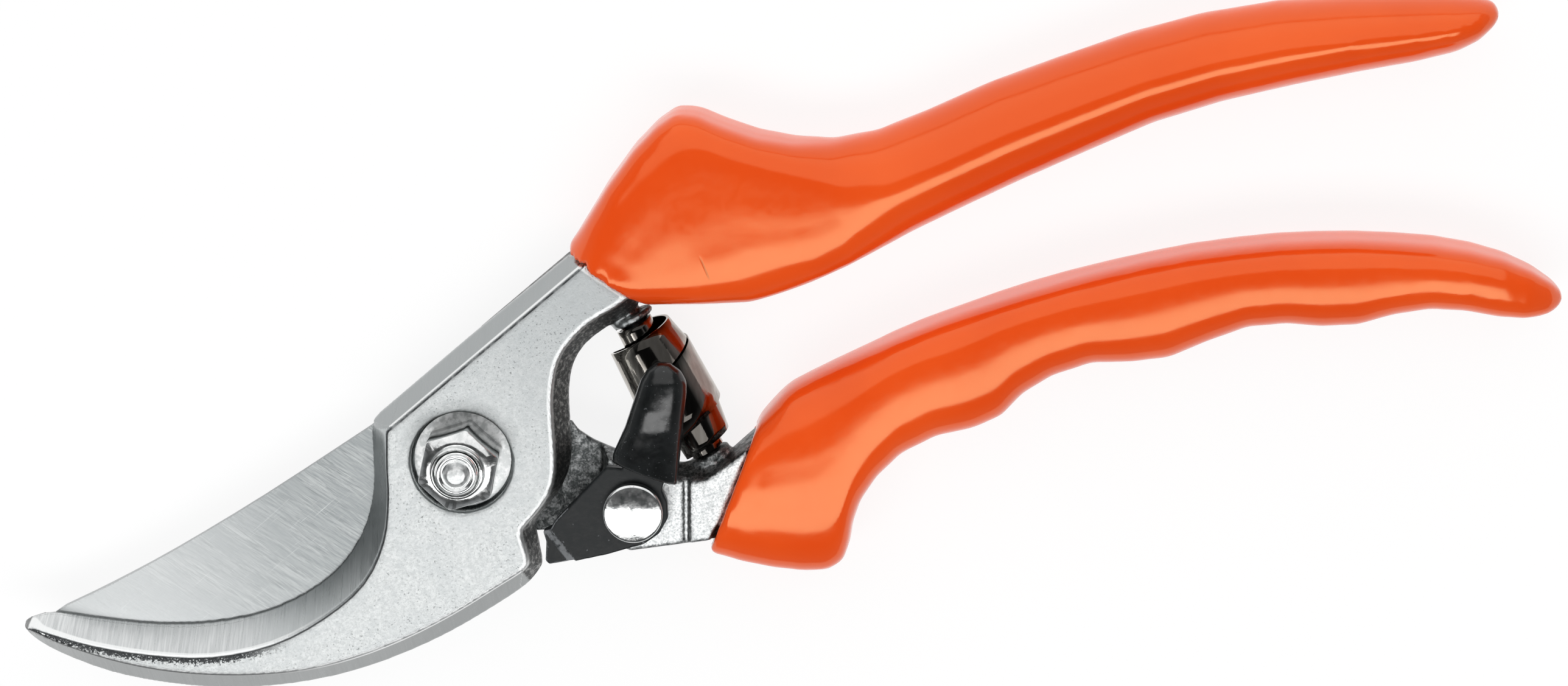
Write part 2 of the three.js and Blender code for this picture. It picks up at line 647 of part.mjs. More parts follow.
function lowerTang() {
  const { foot, along } = springAxis();
  const key = BOLT_SQUARE + 2 * BORE_GAP;
  let body = neckSolid()
    .add(headPlate())
    .add(tangSolid(LOWER_TANG))
    .add(springSeat(foot, along.clone().negate()))
    .subtract(plate([0, 0], [key, key], TANG_BACK - 1, TANG_PLATE_TOP + 1));
  for (const [x, y] of Object.values(BLADE_RIVETS)) {
    const hole = BLADE_RIVET_RADIUS + BORE_GAP;
    body = body.subtract(roundBar([x, y, TANG_BACK - 1], [x, y, TANG_PLATE_TOP + 0.05], hole));
  }
  const lockHole = LOCK_RIVET_RADIUS + BORE_GAP;
  return body.subtract(roundBar([...LOCK_PIVOT, TANG_BACK - 1], [...LOCK_PIVOT, NECK_FACE + 1], lockHole));
}

function bladeRivet([x, y]) {
  const r = BLADE_RIVET_RADIUS;
  const top = BLADE_FACE - 0.05;
  return moved(turned([[0, 1.3], [1.4, 1.4], [2.3, 1.9], [2.6, 2.62], [r, 2.62], [r, top - 0.9],
    [r + 0.55, top], [0, top]], 28), x, y);
}

// ---------------------------------------------------------------- pivot hardware

function pivotBolt() {
  const head = turned([[0, 0], [BOLT_HEAD_RADIUS - 0.7, 0], [BOLT_HEAD_RADIUS, 0.7],
    [BOLT_HEAD_RADIUS, BOLT_HEAD_TOP], [0, BOLT_HEAD_TOP]], 48);
  const key = plate([0, 0], [BOLT_SQUARE, BOLT_SQUARE], BOLT_HEAD_TOP - 0.4, TANG_PLATE_TOP);
  const shaft = turned([[0, TANG_PLATE_TOP - 0.2], [THREAD_RADIUS, TANG_PLATE_TOP - 0.2],
    [THREAD_RADIUS, TANG_PLATE_TOP], [BEARING_RADIUS, TANG_PLATE_TOP],
    [BEARING_RADIUS, RECESS_FLOOR - 0.1], [THREAD_RADIUS, RECESS_FLOOR - 0.1],
    [THREAD_RADIUS, BOLT_TOP - 0.8], [2.5, BOLT_TOP - 0.3], [1.4, BOLT_TOP - 0.05], [0, BOLT_TOP]], 48);
  return head.add(key).add(shaft);
}

function ringPiece(inner, outer, zLow, zHigh, sides = 48) {
  return turned([[inner, zLow], [outer, zLow], [outer, zHigh], [inner, zHigh], [inner, zLow]], sides);
}

function pivotWasher() {
  return ringPiece(THREAD_RADIUS + BORE_GAP, WASHER_RADIUS, RECESS_FLOOR, WASHER_TOP);
}

function pivotNut() {
  const corner = NUT_ACROSS_FLATS / Math.sqrt(3);
  const hex = new THREE.CylinderGeometry(corner, corner, NUT_TOP - WASHER_TOP - 0.05, 6);
  hex.rotateX(Math.PI / 2);
  hex.rotateZ(Math.PI / 6);
  hex.translate(0, 0, (NUT_TOP + WASHER_TOP + 0.05) / 2);
  const dome = turned([[0, WASHER_TOP - 1], [corner + 1, WASHER_TOP - 1], [corner + 1, NUT_TOP - 1.1],
    [NUT_ACROSS_FLATS / 2 - 0.1, NUT_TOP], [0, NUT_TOP]], 48);
  const collar = turned([[0, NUT_TOP - 1], [COLLAR_RADIUS, NUT_TOP - 1], [COLLAR_RADIUS, COLLAR_TOP - 0.25],
    [COLLAR_RADIUS - 0.25, COLLAR_TOP], [0, COLLAR_TOP]], 48);
  const thread = THREAD_RADIUS + BORE_GAP;
  return solid(hex).intersect(dome).add(collar)
    .subtract(roundBar([0, 0, WASHER_TOP - 1], [0, 0, COLLAR_TOP + 1], thread, 48));
}

// ---------------------------------------------------------------- volute spring

// The strip at turns from the middle coil: its upper and lower edge as shares of half the
// spring's length, and the radius at each edge. Neighbouring turns meet in an open seam.
const STRIP = [
  [-2.6, -1.0, -0.86, 2.2, 2.2],
  [-2.0, -0.98, -0.76, 2.4, 2.4],
  [-1.5, -0.97, -0.62, 2.9, 3.1],
  [-1.0, -0.84, -0.5, 4.5, 5.3],
  [-0.5, -0.76, -0.03, 5.15, 5.6],
  [0.0, -0.47, 0.4, 5.45, 5.45],
  [0.5, 0.0, 0.76, 5.6, 5.0],
  [1.0, 0.43, 0.84, 4.9, 4.2],
  [1.5, 0.62, 0.97, 3.3, 3.0],
  [2.0, 0.76, 0.98, 2.5, 2.5],
  [2.6, 0.86, 1.0, 2.2, 2.2],
];

function stripAt(turn) {
  let k = 0;
  while (k + 2 < STRIP.length && turn > STRIP[k + 1][0]) {
    k += 1;
  }
  const [a, b] = [STRIP[k], STRIP[k + 1]];
  const t = (turn - a[0]) / (b[0] - a[0]);
  return a.map((value, i) => value + (b[i] - value) * t);
}

function voluteSpring() {
  const { top, along, length } = springAxis();
  const half = length / 2 - SPRING_END_GAP;
  const middle = top.clone().addScaledVector(along, length / 2);
  const sideways = new THREE.Vector3(0, 0, 1).cross(along).normalize();
  const front = new THREE.Vector3(0, 0, 1);
  const turns = STRIP[STRIP.length - 1][0];
  const steps = Math.round(2 * turns * SPRING_STEPS_PER_TURN);
  const rings = [];
  for (let k = 0; k <= steps; k += 1) {
    const turn = -turns + (2 * turns * k) / steps;
    const angle = 2 * Math.PI * turn;
    const out = sideways.clone().multiplyScalar(Math.cos(angle)).addScaledVector(front, Math.sin(angle));
    const [, upper, lower, upperRadius, lowerRadius] = stripAt(turn);
    const at = (radius, share) => middle.clone().addScaledVector(along, share * half)
      .addScaledVector(out, radius);
    rings.push([
      at(upperRadius, upper), at(lowerRadius, lower),
      at(lowerRadius - SPRING_STRIP, lower), at(upperRadius - SPRING_STRIP, upper),
    ]);
  }
  return ringSolid(rings);
}

// ---------------------------------------------------------------- lock

const LEVER_PLATE = [
  [8.7, -12.4],
  [10.6, -17.6],
  [15.2, -18.0],
  [20.4, -18.1],
  [22.8, -17.3],
  [24.6, -15.6],
  [25.2, -13.4],
  [25.0, -11.4],
  [25.0, -10.6],
  [23.0, -9.0],
  [20.6, -7.0],
  [18.9, -6.3],
  [14.0, -9.1],
  [10.0, -11.3],
];
const LEVER_NOSE = [
  [7.45, -12.75],
  [7.4, -14.2],
  [6.45, -16.7],
  [6.8, -17.35],
  [9.2, -17.65],
  [10.6, -17.6],
  [8.7, -12.4],
];
// Down the middle of the thumb tab: x, y, half width, height of its underside.
const THUMB_TAB = [
  [22.6, -10.2, 2.8, 13.0],
  [23.6, -8.4, 3.0, 13.0],
  [24.6, -6.4, 3.0, 13.8],
  [25.8, -4.2, 2.8, 15.1],
  [27.9, -0.6, 2.4, 15.6],
  [29.9, 2.6, 2.0, 15.6],
  [30.6, 3.9, 1.3, 15.6],
];

function tabAcross() {
  const from = THUMB_TAB[0];
  const to = THUMB_TAB[THUMB_TAB.length - 1];
  const along = new THREE.Vector2(to[0] - from[0], to[1] - from[1]).normalize();
  return new THREE.Vector2(along.y, -along.x);
}

function thumbTab(grow = 0) {
  const across = tabAcross();
  const thickness = LEVER_FRONT - LEVER_BACK;
  const end = THUMB_TAB.length - 1;
  return ringSolid(THUMB_TAB.map(([x, y, halfWidth, z], k) => {
    const w = halfWidth + grow;
    const ahead = k === end ? grow : 0;
    const at = (side, height) => new THREE.Vector3(
      x + across.x * side - across.y * ahead, y + across.y * side + across.x * ahead, height);
    return [at(w, z - grow), at(w, z + thickness + grow), at(-w, z + thickness + grow), at(-w, z - grow)];
  }));
}

function lockLever() {
  const main = levelSolid([[LEVER_BACK, LEVER_PLATE], [LEVER_FRONT, LEVER_PLATE]]);
  const nose = levelSolid([[NOSE_BACK, LEVER_NOSE], [NOSE_FRONT, LEVER_NOSE]]);
  // the joggle that carries the plate down to the nose
  const joggle = (x, y) => [new THREE.Vector3(x - 1.2, y - 0.1, NOSE_BACK),
    new THREE.Vector3(x + 1.0, y, LEVER_BACK), new THREE.Vector3(x + 1.0, y, LEVER_FRONT),
    new THREE.Vector3(x - 1.2, y - 0.1, NOSE_FRONT)];
  const step = ringSolid([joggle(10.6, -17.55), joggle(8.8, -12.5)]);
  const hole = LOCK_RIVET_RADIUS + BORE_GAP;
  return main.add(nose).add(step).add(thumbTab())
    .subtract(roundBar([...LOCK_PIVOT, NOSE_BACK], [...LOCK_PIVOT, LEVER_FRONT + 1], hole));
}

// Up the dipped cap: its left side, its right side, middle height and half depth.
const CAP_STATIONS = [
  [19.9, -5.7, 27.3, -11.5, 14.9, 1.75],
  [20.4, -4.6, 28.2, -9.6, 15.2, 2.05],
  [21.6, -3.2, 29.3, -7.2, 15.6, 2.3],
  [23.3, -1.3, 30.7, -4.2, 16.1, 2.5],
  [24.9, 0.9, 31.8, -1.6, 16.4, 2.45],
  [26.3, 2.8, 32.8, 0.6, 16.4, 2.4],
  [27.4, 4.3, 33.3, 2.2, 16.4, 2.25],
  [28.7, 5.4, 33.0, 3.8, 16.4, 1.75],
  [30.2, 5.9, 32.0, 5.2, 16.4, 0.9],
];

function lockThumbCap() {
  const sides = 20;
  const rings = CAP_STATIONS.map(([leftX, leftY, rightX, rightY, z, halfDepth]) => {
    const ring = [];
    for (let k = 0; k < sides; k += 1) {
      const angle = (2 * Math.PI * k) / sides;
      const share = (1 + Math.cos(angle)) / 2;
      ring.push(new THREE.Vector3(leftX + (rightX - leftX) * share,
        leftY + (rightY - leftY) * share, z + halfDepth * Math.sin(angle)));
    }
    return ring;
  });
  return ringSolid(rings).subtract(thumbTab(GAP));
}

function lockRivet() {
  const r = LOCK_RIVET_RADIUS;
  const under = LEVER_FRONT + 0.1;
  const head = LOCK_RIVET_HEAD_RADIUS;
  return moved(turned([[0, TANG_BACK + 0.1], [r, TANG_BACK + 0.1], [r, under], [head, under],
    [head, under + 1.1], [head - 0.25, under + 1.35], [head * 0.7, under + 1.5],
    [head * 0.4, under + 1.65], [0, under + 1.7]], 40), ...LOCK_PIVOT);
}

function lockSpringWasher() {
  const ring = ringPiece(LOCK_RIVET_RADIUS + BORE_GAP, SPRING_WASHER_RADIUS, LEVER_FLAT + 0.05,
    LEVER_BACK - 0.05);
  return moved(ring, ...LOCK_PIVOT);
}

// ---------------------------------------------------------------- assembly

const shears = new THREE.Group();

function addPiece(name, body, material) {
  const mesh = new THREE.Mesh(geometryOf(body), material);
  mesh.name = name;
  shears.add(mesh);
}

addPiece('counter_blade', counterBlade(), BLASTED_STEEL);
addPiece('upper_grip', gripSolid(UPPER_GRIP, UPPER_TANG, UPPER_SECTION), ORANGE_VINYL);
addPiece('lower_tang', lowerTang(), FORGED_STEEL);
addPiece('cutting_blade', cuttingBlade(), GROUND_STEEL);
for (const [place, centre] of Object.entries(BLADE_RIVETS)) {
  addPiece(`blade_rivet_${place}`, bladeRivet(centre), BRIGHT_STEEL);
}
addPiece('lower_grip', gripSolid(LOWER_GRIP, LOWER_TANG, LOWER_SECTION), ORANGE_VINYL);
addPiece('pivot_bolt', pivotBolt(), BRIGHT_STEEL);
addPiece('pivot_washer', pivotWasher(), BRIGHT_STEEL);
addPiece('pivot_nut', pivotNut(), BRIGHT_STEEL);
addPiece('volute_spring', voluteSpring(), BRIGHT_STEEL);
addPiece('lock_lever', lockLever(), BLACK_STEEL);
addPiece('lock_thumb_cap', lockThumbCap(), BLACK_VINYL);
addPiece('lock_rivet', lockRivet(), BRIGHT_STEEL);
addPiece('lock_spring_washer', lockSpringWasher(), BRIGHT_STEEL);

export default shears;
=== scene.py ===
import functools
import math

import bmesh
import bpy
import numpy as np
from mathutils import Matrix, Vector
from mathutils.bvhtree import BVHTree
from mathutils.kdtree import KDTree


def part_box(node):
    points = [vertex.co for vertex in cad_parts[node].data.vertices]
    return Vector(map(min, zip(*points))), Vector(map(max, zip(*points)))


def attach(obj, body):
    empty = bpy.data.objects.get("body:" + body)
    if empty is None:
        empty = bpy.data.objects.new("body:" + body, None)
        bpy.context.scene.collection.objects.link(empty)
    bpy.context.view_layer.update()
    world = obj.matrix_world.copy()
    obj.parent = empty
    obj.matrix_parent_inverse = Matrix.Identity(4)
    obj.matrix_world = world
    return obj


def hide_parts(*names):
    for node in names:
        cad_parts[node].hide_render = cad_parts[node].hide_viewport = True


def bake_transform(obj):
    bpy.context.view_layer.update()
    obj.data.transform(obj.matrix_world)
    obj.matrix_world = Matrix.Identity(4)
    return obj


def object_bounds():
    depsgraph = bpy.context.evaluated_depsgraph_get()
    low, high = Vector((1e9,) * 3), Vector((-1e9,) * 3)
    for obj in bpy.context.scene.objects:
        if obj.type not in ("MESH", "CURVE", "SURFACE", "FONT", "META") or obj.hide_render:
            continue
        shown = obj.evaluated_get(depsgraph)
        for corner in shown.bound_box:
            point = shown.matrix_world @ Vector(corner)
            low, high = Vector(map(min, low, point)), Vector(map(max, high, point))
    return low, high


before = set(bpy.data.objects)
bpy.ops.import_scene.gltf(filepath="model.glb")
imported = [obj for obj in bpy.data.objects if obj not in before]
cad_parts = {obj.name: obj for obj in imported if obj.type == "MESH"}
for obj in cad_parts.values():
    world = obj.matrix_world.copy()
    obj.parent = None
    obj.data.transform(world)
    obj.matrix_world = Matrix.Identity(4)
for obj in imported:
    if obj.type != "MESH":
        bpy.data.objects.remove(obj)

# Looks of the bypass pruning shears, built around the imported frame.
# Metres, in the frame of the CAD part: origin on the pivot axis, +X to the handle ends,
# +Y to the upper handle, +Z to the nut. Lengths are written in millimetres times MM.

cad_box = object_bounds()

MM = 0.001

# ---------------------------------------------------------------- camera

CAMERA_DISTANCE = 0.8
CAMERA_LENS = 134.94
CAMERA_TILT_UP = math.radians(13.0)
CAMERA_TILT_RIGHT = math.radians(3.0)
CAMERA_ROLL = math.radians(17.35)      # how far the handles point above the picture's horizontal
AIM_RIGHT = 0.04393                    # from the pivot to the middle of the picture
AIM_UP = 0.01626

pivot_top = Vector((0, 0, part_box("counter_blade")[1].z))


def table_direction(right, up, toward):
    """A direction given as shares to the picture's right, its top and away from the table."""
    return Matrix.Rotation(-CAMERA_ROLL, 3, "Z") @ Vector((right, up, toward))


def camera_axes():
    toward = Vector((math.sin(CAMERA_TILT_RIGHT), math.sin(CAMERA_TILT_UP), 0))
    toward.z = math.sqrt(1 - toward.length_squared)
    up = toward.cross(Vector((1, 0, 0))).normalized()
    axes = (up.cross(toward), up, toward)
    return [table_direction(*axis) for axis in axes]


def make_camera():
    right, up, toward = camera_axes()
    camera = bpy.data.objects.new("camera", bpy.data.cameras.new("camera"))
    bpy.context.scene.collection.objects.link(camera)
    camera.data.lens = CAMERA_LENS
    camera.data.sensor_width = 36
    camera.data.clip_start = 0.01
    camera.data.clip_end = 50
    place = pivot_top + right * AIM_RIGHT + up * AIM_UP + toward * CAMERA_DISTANCE
    turn = Matrix((right, up, toward)).transposed().to_4x4()
    camera.matrix_world = Matrix.Translation(place) @ turn
    bpy.context.scene.camera = camera


make_camera()

# ---------------------------------------------------------------- node trees


class Finish:
    """A procedural material on one Principled shader, with coordinates in millimetres."""

    def __init__(self, name):
        self.material = bpy.data.materials.new(name)
        self.material.use_nodes = True
        self.tree = self.material.node_tree
        self.shader = self.tree.nodes["Principled BSDF"]
        coordinates = self.tree.nodes.new("ShaderNodeTexCoord")
        self.place = self.mapped(coordinates.outputs["Object"], scale=(1000, 1000, 1000))

    def node(self, kind, inputs=(), **settings):
        """A new node: inputs are values or sockets, settings are the node's own."""
        made = self.tree.nodes.new(kind)
        for key, value in settings.items():
            setattr(made, key, value)
        for key, value in dict(inputs).items():
            self.feed(made.inputs[key], value)
        return made

    def feed(self, socket, value):
        if isinstance(value, bpy.types.NodeSocket):
            self.tree.links.new(value, socket)
        elif isinstance(value, (tuple, list)) and socket.type == "RGBA":
            socket.default_value = (*value, 1)
        else:
            socket.default_value = value

    def mapped(self, vector, turn=(0, 0, 0), scale=(1, 1, 1)):
        """Coordinates that are turned first, and then scaled along the turned axes."""
        turned = self.node("ShaderNodeMapping", {"Vector": vector, "Rotation": turn})
        scaled = self.node("ShaderNodeMapping", {"Vector": turned.outputs[0], "Scale": scale})
        return scaled.outputs[0]

    def brushed(self, degrees, along, across):
        """Coordinates for long marks: features per millimetre along and across them."""
        return self.mapped(self.place, turn=(0, 0, math.radians(degrees)), scale=(along, across, 0.4))

    def noise(self, per_mm, detail=3.0, roughness=0.55, place=None, distortion=0.0):
        made = self.node("ShaderNodeTexNoise", {
            "Vector": place or self.place, "Scale": per_mm, "Detail": detail,
            "Roughness": roughness, "Distortion": distortion,
        })
        return made.outputs["Fac"]

    def span(self, value, low, high, to_low=0.0, to_high=1.0):
        """Maps value smoothly from low..high to to_low..to_high, and holds it outside."""
        made = self.node("ShaderNodeMapRange", {
            "Value": value, "From Min": low, "From Max": high, "To Min": to_low, "To Max": to_high,
        }, interpolation_type="SMOOTHSTEP")
        return made.outputs["Result"]

    def stripe(self, value, low, high, soft=0.06):
        """1 between low and high, with soft borders."""
        above_low = self.span(value, low - soft, low + soft)
        below_high = self.span(value, high - soft, high + soft, 1, 0)
        return self.times(above_low, below_high)

    def calc(self, operation, a, b=0.0, c=0.0):
        made = self.node("ShaderNodeMath", {0: a, 1: b, 2: c}, operation=operation)
        return made.outputs[0]

    def times(self, *values):
        return functools.reduce(functools.partial(self.calc, "MULTIPLY"), values)

    def most(self, *values):
        return functools.reduce(functools.partial(self.calc, "MAXIMUM"), values)

    def blend(self, factor, a, b):
        """The colour a where factor is 0, and b where it is 1."""
        made = self.node("ShaderNodeMix", {"Factor": factor}, data_type="RGBA")
        self.feed(made.inputs[6], a)
        self.feed(made.inputs[7], b)
        return made.outputs[2]

    def mix(self, factor, a, b):
        """The number a where factor is 0, and b where it is 1."""
        made = self.node("ShaderNodeMix", {"Factor": factor}, data_type="FLOAT")
        self.feed(made.inputs[2], a)
        self.feed(made.inputs[3], b)
        return made.outputs[0]

    def attribute(self, name):
        return self.node("ShaderNodeAttribute", attribute_name=name).outputs["Fac"]

    def axes(self, vector):
        return self.node("ShaderNodeSeparateXYZ", {0: vector}).outputs

    def along(self, vector, direction):
        """How far the vector reaches in a direction of length 1."""
        made = self.node("ShaderNodeVectorMath", {0: vector, 1: direction}, operation="DOT_PRODUCT")
        return made.outputs["Value"]

    def bump(self, height, depth_mm, strength=1.0):
        made = self.node("ShaderNodeBump", {
            "Height": height, "Distance": depth_mm * MM, "Strength": strength,
        })
        self.feed(self.shader.inputs["Normal"], made.outputs["Normal"])

    def set(self, **sockets):
        for name, value in sockets.items():
            self.feed(self.shader.inputs[name.replace("_", " ")], value)


# ---------------------------------------------------------------- metals

PICTURE_LEFT = (-0.9545, 0.298, 0)      # the photo's directions, in the axes of the part
PICTURE_UP = (0.298, 0.954, 0)
HANDLE_WARD = (0.8, 0.6, 0)
RIMS = ("inner_rim", "strip_rim", "wall_rim", "lower_rim")
WEAR_AND_HIGHLIGHT_BRIGHT = (0.95, 0.96, 0.955)
DARK_LINE_BURR_AND_SHADOW = (0.055, 0.058, 0.06)
RECESS_SHADE = (0.15, 0.158, 0.16)


def blasted_steel():
    """Tumbled forging of the hook half: mottled flats, ground bevels, dark forged walls.
    It reads what counter_blade() writes: the kind of surface that a point is on, and its depth
    inside the four rims of the face."""
    f = Finish("blasted_steel")
    wall, ground, bevel = (f.attribute(name) for name in ("wall", "ground", "bevel"))
    inner, strip, neck, lower = (f.attribute(name) for name in RIMS)
    x, y, z = f.axes(f.place)

    # the face: grain, mottle and pits, with painted shade that darkens the face and its pits towards the
    # handle
    grain = f.noise(2.4, 5, 0.75)
    mottle = f.noise(0.75, 5, 0.7)
    patches = f.noise(0.16, 4, 0.6)
    shade_toward_handle = f.span(f.along(f.place, HANDLE_WARD), -8, 34)
    pitted = f.span(f.noise(0.2, 3, 0.6), 0.4, 0.6, 0.3, 1)
    pits = f.times(f.span(f.noise(3.1, 2, 0.6), 0.27, 0.36, 1, 0), pitted)
    pit_darkness = f.calc("ADD", f.times(shade_toward_handle, 0.3), 0.2)
    face = f.blend(f.span(grain, 0.32, 0.68), (0.45, 0.468, 0.468), (0.71, 0.728, 0.724))
    face = f.blend(f.span(mottle, 0.50, 0.66, 0, 0.42), face, (0.44, 0.462, 0.466))
    face = f.blend(f.span(patches, 0.42, 0.62, 0, 0.25), face, (0.48, 0.505, 0.512))
    face = f.blend(f.times(shade_toward_handle, 0.75), face, (0.37, 0.388, 0.392))
    face = f.blend(f.times(pits, pit_darkness), face, (0.22, 0.23, 0.235))

    # ground sides: polished near the pivot, streaked across the bevel towards the tip
    streak_place = f.mapped(f.place, turn=(0, 0, math.radians(17)), scale=(3.4, 0.12, 0.12))
    streaks = f.noise(1.0, 5, 0.65, place=streak_place)
    tip_side = f.span(x, -40, -27, 1, 0)
    streaked = f.blend(f.span(streaks, 0.32, 0.68), (0.55, 0.567, 0.57), (0.77, 0.783, 0.782))
    polished = f.blend(patches, (0.55, 0.58, 0.582), (0.62, 0.645, 0.647))
    side = f.blend(f.times(bevel, f.calc("ADD", f.times(tip_side, 0.92), 0.08)), polished, streaked)
    no_bevel = f.span(bevel, 0.3, 0.6, 1, 0)
    shaded_upper_strip = f.times(ground, no_bevel, f.span(y, 2, 5))
    shaded_lower_side = f.times(ground, no_bevel, f.span(lower, -0.3, 0.0, 1, 0))

    # forged walls: dark scale
    scale_grain = f.noise(1.6, 5, 0.7)
    dark = f.blend(f.span(scale_grain, 0.44, 0.70), (0.075, 0.078, 0.078), (0.36, 0.36, 0.35))

    colour = f.blend(ground, face, side)
    # painted shade: the hook's bevel darker towards the pivot
    colour = f.blend(f.times(bevel, f.span(x, -30, -12), 0.3), colour, (0.26, 0.28, 0.285))
    # painted shade: the ground strip above the pivot and the ground sides below the lower rim, darker
    # than the rest of the ground sides
    colour = f.blend(f.times(shaded_upper_strip, 0.8), colour, (0.33, 0.345, 0.347))
    colour = f.blend(f.times(shaded_lower_side, 0.85), colour, (0.27, 0.28, 0.28))
    colour = f.blend(wall, colour, dark)

    # bright edges of the face: partly wear, partly a painted highlight along their rounding
    edge_wear_and_highlight = f.most(
        f.stripe(strip, -0.3, -0.03),
        f.times(f.stripe(neck, -0.3, 0.45, 0.15), 0.8),
        f.stripe(lower, -0.25, 0.25),
        f.times(f.stripe(inner, -0.42, -0.03), f.span(x, -22, -34)),
    )
    colour = f.blend(f.times(edge_wear_and_highlight, 0.85), colour, WEAR_AND_HIGHLIGHT_BRIGHT)

    # dark lines along the edges, a ragged burr under the hook's bevel, dark edges at the tip, and a
    # painted shadow along the foot of the bevel where it meets the blade
    worn = f.span(f.noise(0.5, 2, 0.5), 0.34, 0.56, 0.35, 1)
    ragged = f.calc("ADD", inner, f.span(f.noise(2.2, 4, 0.8), 0.3, 0.7, -0.7, 0.45))
    tip = f.times(f.span(x, -66.5, -64), f.span(x, -38, -29, 1, 0))
    dark_lines_burr_and_shadow = f.most(
        f.times(f.stripe(strip, 0.06, 0.28), worn, 0.95),
        f.times(f.stripe(inner, 0.04, 0.26), 0.9),
        f.times(f.stripe(ragged, -0.1, 0.75), f.span(inner, 0.0, 0.1), tip),
        # painted shadow along the foot of the bevel, where it meets the blade
        f.times(bevel, f.span(z, 8.35, 8.75, 0.85, 0)),
        f.span(f.along(f.place, PICTURE_LEFT), 60.5, 60.8, 0, 0.9),
        f.times(f.stripe(lower, -0.24, 0.02, 0.05), f.span(x, -40, -18, 0.8, 0)),
    )
    colour = f.blend(dark_lines_burr_and_shadow, colour, DARK_LINE_BURR_AND_SHADOW)

    # painted shade round the upper side of the recess
    level = f.node("ShaderNodeCombineXYZ", {0: x, 1: y}).outputs[0]
    radius = f.node("ShaderNodeVectorMath", {0: level}, operation="LENGTH").outputs["Value"]
    upper_side = f.span(f.along(f.place, PICTURE_UP), -1, 7)
    recess_shade = f.times(f.span(radius, 6.4, 9.8, 1, 0), upper_side, f.span(patches, 0.3, 0.6, 0.6, 1))
    colour = f.blend(f.times(recess_shade, 0.6), colour, RECESS_SHADE)

    f.set(Base_Color=colour, Metallic=1.0)
    roughness = f.mix(ground, f.span(grain, 0.2, 0.8, 0.44, 0.56), f.span(streaks, 0.2, 0.8, 0.24, 0.36))
    f.set(Roughness=f.mix(wall, roughness, f.span(scale_grain, 0.4, 0.8, 0.5, 0.3)))
    height = f.mix(ground, f.calc("ADD", grain, f.times(pits, -0.8)), f.times(streaks, 0.5))
    f.bump(f.mix(wall, height, f.times(scale_grain, 3.0)), 0.05, 0.8)
    return f.material


def ground_steel():
    """Cutting blade: grinding marks across it in two directions, a few scratches over them,
    and lighter towards the tip."""
    f = Finish("ground_steel")
    marks = f.noise(1.0, 6, 0.75, place=f.brushed(54, 0.30, 4.2), distortion=0.5)
    crossing = f.noise(1.0, 5, 0.7, place=f.brushed(47, 0.20, 2.9), distortion=0.4)
    broad = f.noise(1.0, 4, 0.6, place=f.brushed(52, 0.08, 0.6))
    scratches = f.span(f.noise(1.0, 4, 0.7, place=f.brushed(-23, 0.09, 5.0)), 0.63, 0.72)
    deep = f.span(f.noise(1.0, 3, 0.7, place=f.brushed(56, 0.15, 3.0)), 0.62, 0.72)
    clouds = f.noise(0.10, 3, 0.6)
    both = f.calc("ADD", f.times(marks, 0.6), f.times(crossing, 0.4))
    colour = f.blend(f.span(both, 0.38, 0.62), (0.19, 0.205, 0.208), (0.46, 0.477, 0.477))
    colour = f.blend(f.span(broad, 0.40, 0.62, 0.0, 0.5), colour, (0.29, 0.308, 0.312))
    colour = f.blend(f.span(clouds, 0.42, 0.62, 0.0, 0.3), colour, (0.26, 0.278, 0.283))
    colour = f.blend(f.times(deep, 0.3), colour, (0.15, 0.158, 0.16))
    colour = f.blend(f.times(scratches, 0.4), colour, (0.86, 0.87, 0.865))
    x, _, _ = f.axes(f.place)
    colour = f.blend(f.span(x, -54, -18, 0.45, 0.0), colour, (0.66, 0.672, 0.672))
    f.set(Base_Color=colour, Metallic=1.0)
    f.set(Roughness=f.span(both, 0.3, 0.7, 0.44, 0.54))
    f.bump(f.calc("ADD", both, f.times(broad, 0.5)), 0.02, 0.6)
    return f.material


def forged_steel():
    """Neck and tang of the lower half: granular forging scale, bright where it was milled."""
    f = Finish("forged_steel")
    coarse = f.noise(0.9, 5, 0.75)
    fine = f.noise(3.0, 4, 0.75)
    milled = f.attribute("milled")
    shown = f.span(f.calc("ADD", f.times(coarse, 0.6), f.times(fine, 0.4)), 0.44, 0.64)
    dark = f.blend(shown, (0.055, 0.06, 0.06), (0.42, 0.43, 0.43))
    bright = f.blend(f.span(fine, 0.36, 0.62), (0.38, 0.395, 0.40), (0.90, 0.91, 0.905))
    bright = f.blend(f.span(coarse, 0.48, 0.60, 0, 0.4), bright, (0.30, 0.315, 0.32))
    f.set(Base_Color=f.blend(milled, dark, bright), Metallic=1.0)
    scaled, cut = f.span(fine, 0.3, 0.7, 0.34, 0.52), f.span(fine, 0.3, 0.7, 0.3, 0.46)
    f.set(Roughness=f.mix(milled, scaled, cut))
    f.bump(f.calc("ADD", f.times(coarse, 1.6), fine), 0.06, 0.9)
    return f.material


def bright_steel():
    """Zinc-plated pivot hardware and rivets, slightly dented and worn, and duller in places."""
    f = Finish("bright_steel")
    clouds = f.noise(0.9, 4, 0.6)
    dents = f.noise(1.7, 3, 0.6)
    stains = f.span(f.noise(1.3, 5, 0.75), 0.56, 0.7)
    dull = f.attribute("dull")
    colour = f.blend(f.span(clouds, 0.35, 0.65), (0.66, 0.675, 0.67), (0.84, 0.845, 0.84))
    colour = f.blend(f.times(stains, 0.5), colour, (0.20, 0.21, 0.21))
    colour = f.blend(f.times(dull, f.span(clouds, 0.4, 0.6, 0.8, 0.3)), colour, (0.34, 0.35, 0.35))
    f.set(Base_Color=colour, Metallic=1.0)
    f.set(Roughness=f.calc("ADD", f.span(clouds, 0.3, 0.7, 0.10, 0.18), f.times(dull, 0.28)))
    f.bump(dents, 0.03, 0.3)
    return f.material


